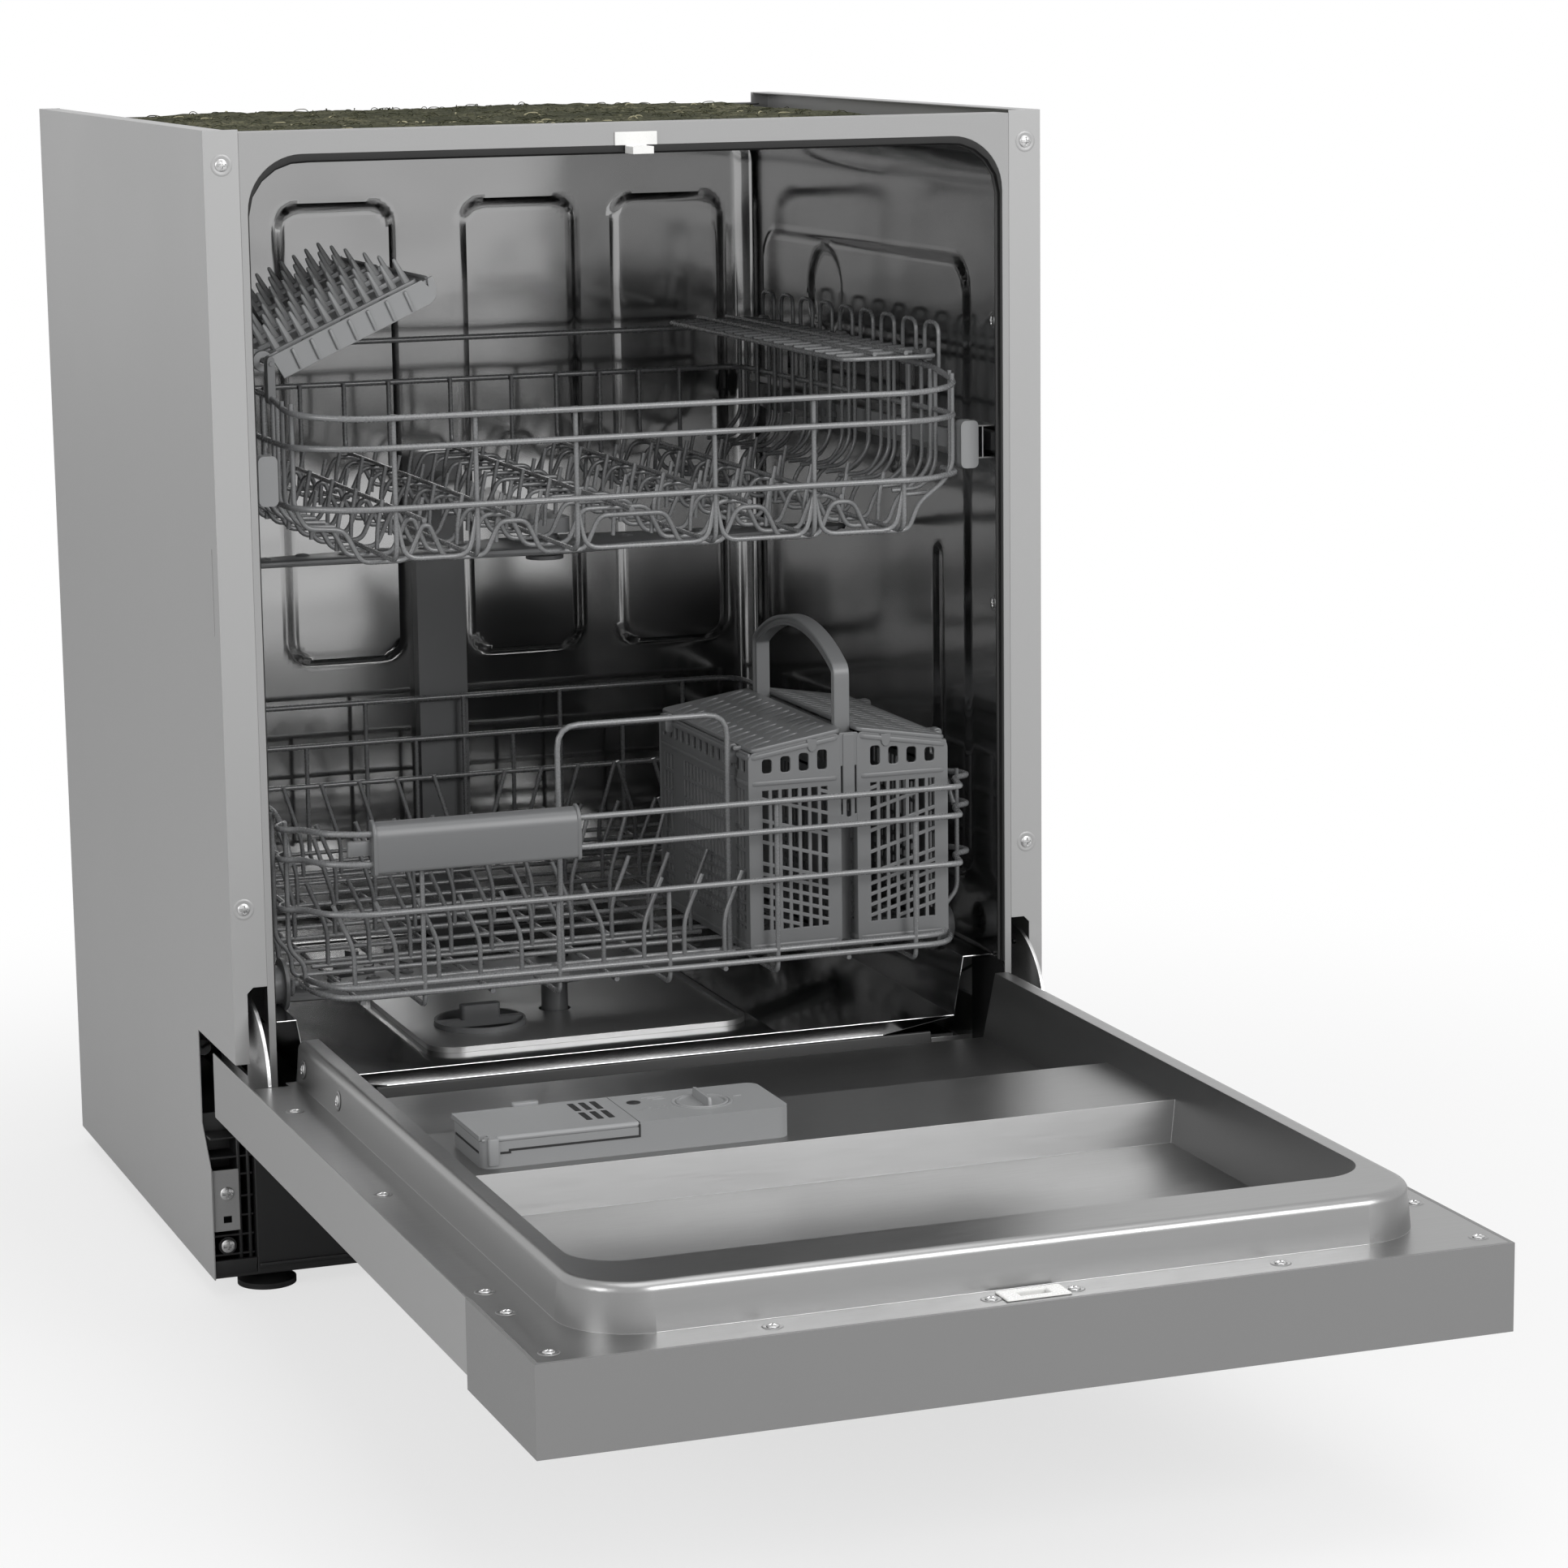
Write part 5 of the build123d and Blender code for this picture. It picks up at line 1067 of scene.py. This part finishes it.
class DISHWASHER_OT_dispenser(bpy.types.Operator):
    """Dispenser: the turned cap, lid vent slots with painted shade as black patches, hinge post, painted shadow in
    the lid's gaps as black strips, and small marks with the black indicator window
    """
    bl_idname = "dishwasher.dispenser"
    bl_label = "Dispenser"

    def execute(self, context):
        top, middle, cap_x = 212.0, -295.5, -66
        cap = [
            turned([(9, -12), (9, -6), (16.8, -6), (16.8, 0.3), (16.3, 0.8), (15.2, 0.8), (14.4, 0.2),
                    (13.4, -2.6), (10, -3.6), (0.1, -3.8)], (cap_x, middle, top), steps=48),
            plate([(-15.4, -4), (15.4, -4), (15.4, 3.4), (14.2, 5.4), (-14.2, 5.4), (-15.4, 3.4)], [], 2.4,
                  sideways(cap_x, middle, top), 0.5),
        ]
        settle(merged("rinse_aid_cap_turned", cap), "light_plastic", "rinse_aid_cap", "rinse_aid_cap")
        body = [turned([(19.6, -0.3), (19.6, 0.3), (19.0, 0.6), (18.0, 0.6), (17.3, -0.2), (17.3, -0.6)],
                       (cap_x, middle, top), steps=48)]
        for n in range(3):
            body.append(lump((13 - n * 2, 1.0, 0.7), (-93 + n * 1.5, -273 - n * 3.2, top + 0.1), 0.4))
        body.append(lump((6, 1.0, 0.7), (-41, -291, top + 0.1), 0.4))
        for x, y in ((-106, -300), (-101, -296), (-101, -304), (-97, -300), (-92, -297), (-92, -303),
                     (-88, -300), (-110, -303), (-84, -300)):
            body.append(turned([(0.9, -0.2), (0.9, 0.25), (0.3, 0.45)], (x, y, top), steps=10))
        body.append(lump((6, 1.6, 17), (-214.5, -329.2, 202.5), 0.8))
        body.append(turned([(3, -0.8), (3, 0.8)], (-214.5, -329.2, 210.6), (0, 1, 0), 20))
        settle(merged("dispenser_marks", body), "light_plastic", "door")
        # The thin black strips on the dispenser's front and left side are painted shadow for the gap under the lid;
        # the small round black dish is the real indicator window.
        lid_gap_shade = [(-210, 202.2), (-204.5, 202.2), (-204.5, 203.6), (-119.6, 203.6), (-119.6, 210.5),
                (-118.6, 210.5), (-118.6, 202.4), (-203.3, 202.4), (-203.3, 201.0), (-210, 201.0)]
        dark = [
            turned([(4.6, -0.2), (4.6, 0.25), (3.6, 0.3), (3.1, 0.05), (0.1, 0.05)], (-107.5, -282, top), steps=32),
            plate(lid_gap_shade, [], 0.5, facing(0, -329.1, 0), 0.1),
            plate([(-322, 201), (-272, 201), (-272, 202.3), (-322, 202.3)], [], 0.5, sideways(-222.1, 0, 0), 0.1),
        ]
        settle(merged("dispenser_gap_shade_and_window", dark), "black_plastic", "door")
        # The black patches on the lid are painted shade, standing in for the dark inside its vent slots.
        vent_shade = []
        for y in (-278.5, -302):
            for n in range(3):
                vent_shade.append(plate(rounded(4.0, 19, 0.8), [], 0.6, lambda u, v, w:
                                   (-146 + n * 7.4 + u, y + v, top + 0.02 + w * 0.2), 0.1))
        settle(merged("lid_vent_shade", vent_shade), "black_plastic", "dispenser_lid")
        settle(merged("lid_catch", [lump((16, 4.4, 3.4), (-173, -260.3, top + 0.4), 1.2)]), "light_plastic",
               "dispenser_lid")
        return {"FINISHED"}


class DISHWASHER_OT_base_front(bpy.types.Operator):
    """Base corners: toe brackets with their square hole, the rib lattice, the sole and the hinge shields"""
    bl_idname = "dishwasher.base_front"
    bl_label = "Base front"

    def execute(self, context):
        brackets, lattice, screws, shields = [], [], [], []
        rib_x, rib_y, screw_x = 282.5, 107, 287.6
        for side in (-1, 1):
            brackets.append(plate([(279, 48), (298, 48), (298, 92), (279, 92)],
                                  [rounded(6.4, 5.4, 0.4, (287.5, 56))], 1.2,
                                  lambda u, v, w: (side * u, 91.4 + w, v), 0.2))
            brackets.append(lump((1.0, 30, 44), (side * 297.4, 106, 70), 0.4))
            for y, z in ((90.8, 75), (93.4, 36)):
                screws.append(screw((side * screw_x, y, z), (0, -1, 0), 9.6))
            for x in (270.6, 277.5):
                lattice.append(lump((1.5, 22, 108), (side * x, rib_y, 71), 0.4))
            for z in (29, 43, 57, 71, 87, 100, 114):
                lattice.append(lump((29, 22, 1.6), (side * rib_x, rib_y, z), 0.4))
            for block, y, z, soft in (((30, 1.6, 112), 118.6, 72, 0.4), ((30, 27, 3), 106, 17.6, 1),
                                      ((30, 2.2, 11), 93.4, 20.5, 0.6)):
                lattice.append(lump(block, (side * rib_x, y, z), soft))
            lattice.append(turned([(6.4, 0), (6.4, 22)], (side * screw_x, 94, 36), (0, 1, 0), 24))
            shields.append(plate(rounded(60, 76, 6, (32, 172)), [], 1.2,
                                 lambda u, v, w: (side * (270.6 + w), u, v), 0.3))
        for z in (20, 126):
            lattice.append(lump((530, 1.4, 3), (0, 91.6, z), 0.4))
        settle(merged("hinge_shields", shields), "black_plastic", "cabinet")
        settle(merged("toe_brackets", brackets), "galvanised", "cabinet", "base_brackets")
        settle(merged("base_lattice", lattice), "black_plastic", "cabinet")
        settle(merged("toe_screws", screws), "hinge_steel", "cabinet")
        return {"FINISHED"}


class DISHWASHER_OT_stage(bpy.types.Operator):
    """Pale floor, soft studio light and the camera"""
    bl_idname = "dishwasher.stage"
    bl_label = "Stage"

    def execute(self, context):
        scene = context.scene
        half = 8.0
        mesh = bpy.data.meshes.new("studio_floor")
        corners = [(-half, -half, 0), (half, -half, 0), (half, half, 0), (-half, half, 0)]
        mesh.from_pydata(corners, [], [(0, 1, 2, 3)])
        floor = bpy.data.objects.new("studio_floor", mesh)
        scene.collection.objects.link(floor)
        paper = bpy.data.materials.new("matt_white_paper")
        paper.use_nodes = True
        tree = paper.node_tree
        tree.nodes.clear()
        seen = add(tree, "ShaderNodeLightPath").outputs["Is Camera Ray"]
        spot = add(tree, "ShaderNodeTexCoord").outputs["Object"]
        far = add(tree, "ShaderNodeVectorMath", {0: spot}, operation="LENGTH").outputs["Value"]
        pale = add(tree, "ShaderNodeMapRange", {
            "Value": far, "From Min": 0.5, "From Max": 1.5, "To Min": 0.68, "To Max": 1.0},
            interpolation_type="SMOOTHSTEP").outputs["Result"]
        share = add(tree, "ShaderNodeMath", {0: seen, 1: pale}, operation="MULTIPLY").outputs[0]
        matt = add(tree, "ShaderNodeBsdfDiffuse", {"Color": linear("f7f7f7")}).outputs["BSDF"]
        glow = add(tree, "ShaderNodeEmission", {"Color": (1, 1, 1, 1), "Strength": 1.0}).outputs["Emission"]
        mixed = add(tree, "ShaderNodeMixShader", {0: share, 1: matt, 2: glow}).outputs["Shader"]
        add(tree, "ShaderNodeOutputMaterial", {"Surface": mixed})
        mesh.materials.append(paper)
        world = bpy.data.worlds.new("studio")
        world.use_nodes = True
        scene.world = world
        tree = world.node_tree
        tree.nodes.clear()
        path = add(tree, "ShaderNodeLightPath")
        backed = path.outputs["Is Camera Ray"]
        for kind in ("Is Glossy Ray", "Is Transmission Ray"):
            rays = {0: backed, 1: path.outputs[kind]}
            backed = add(tree, "ShaderNodeMath", rays, operation="MAXIMUM").outputs[0]
        fill, white = [
            add(tree, "ShaderNodeBackground", {"Color": (1, 1, 1, 1), "Strength": strength}).outputs["Background"]
            for strength in (0.42, 1.0)
        ]
        mixed = add(tree, "ShaderNodeMixShader", {0: backed, 1: fill, 2: white}).outputs["Shader"]
        add(tree, "ShaderNodeOutputWorld", {"Surface": mixed})
        for name, place, aim, wide, power in (
            ("key_softbox", (1.6, -3.9, 2.3), (0.0, -0.1, 0.45), 1.8, 95),
            ("left_softbox", (-3.4, -1.8, 1.7), (0.0, 0.1, 0.4), 1.6, 34),
            ("top_softbox", (0.2, -0.6, 3.2), (0.0, 0.0, 0.4), 2.2, 26),
        ):
            lamp = bpy.data.lights.new(name, "AREA")
            lamp.energy = power
            lamp.size = wide
            made = bpy.data.objects.new(name, lamp)
            made.location = place
            made.rotation_euler = (Vector(aim) - Vector(place)).to_track_quat("-Z", "Y").to_euler()
            scene.collection.objects.link(made)
        sensor, focal_share = 36.0, 5466.8 / 1932
        lens = bpy.data.cameras.new("camera")
        lens.sensor_width = sensor
        lens.lens = focal_share * sensor
        lens.clip_end = 50.0
        camera = bpy.data.objects.new("camera", lens)
        yaw, pitch, roll = 0.3535, 0.1831, -0.0129
        forward = Vector((math.sin(yaw) * math.cos(pitch), math.cos(yaw) * math.cos(pitch), -math.sin(pitch)))
        right = Vector((math.cos(yaw), -math.sin(yaw), 0))
        up = right.cross(forward)
        right, up = right * math.cos(roll) + up * math.sin(roll), up * math.cos(roll) - right * math.sin(roll)
        turn = Matrix((right, up, -forward)).transposed().to_4x4()
        camera.matrix_world = Matrix.Translation(at(-962.5, -2883.1, 923.4)) @ turn
        scene.collection.objects.link(camera)
        scene.camera = camera
        scene.view_settings.view_transform = "Standard"
        return {"FINISHED"}


OPERATORS = (
    DISHWASHER_OT_stage, DISHWASHER_OT_finishes, DISHWASHER_OT_tub, DISHWASHER_OT_felt,
    DISHWASHER_OT_lower_basket, DISHWASHER_OT_upper_basket, DISHWASHER_OT_tine_tray,
    DISHWASHER_OT_cutlery_basket, DISHWASHER_OT_spray_arms, DISHWASHER_OT_dispenser,
    DISHWASHER_OT_base_front, DISHWASHER_OT_screws,
)


class DISHWASHER_PT_pieces(bpy.types.Panel):
    """Lists the machine's operators, sizes and colours"""
    bl_idname = "DISHWASHER_PT_pieces"
    bl_label = "Dishwasher"
    bl_space_type = "VIEW_3D"
    bl_region_type = "UI"
    bl_category = "Dishwasher"

    def draw(self, context):
        for operator in OPERATORS:
            self.layout.operator(operator.bl_idname)
        for group in (context.scene.dishwasher_sizes, context.scene.dishwasher_colours):
            for name in group.bl_rna.properties.keys():
                if name not in ("rna_type", "name"):
                    self.layout.prop(group, name)


CLASSES = (DishwasherSizes, DishwasherColours, *OPERATORS, DISHWASHER_PT_pieces)


def register():
    for each in CLASSES:
        bpy.utils.register_class(each)
    bpy.types.Scene.dishwasher_sizes = bpy.props.PointerProperty(type=DishwasherSizes)
    bpy.types.Scene.dishwasher_colours = bpy.props.PointerProperty(type=DishwasherColours)


def unregister():
    del bpy.types.Scene.dishwasher_colours
    del bpy.types.Scene.dishwasher_sizes
    for each in reversed(CLASSES):
        bpy.utils.unregister_class(each)


def main():
    register()
    for operator in OPERATORS:
        group, name = operator.bl_idname.split(".")
        getattr(getattr(bpy.ops, group), name)()


if __name__ == "__main__":
    main()
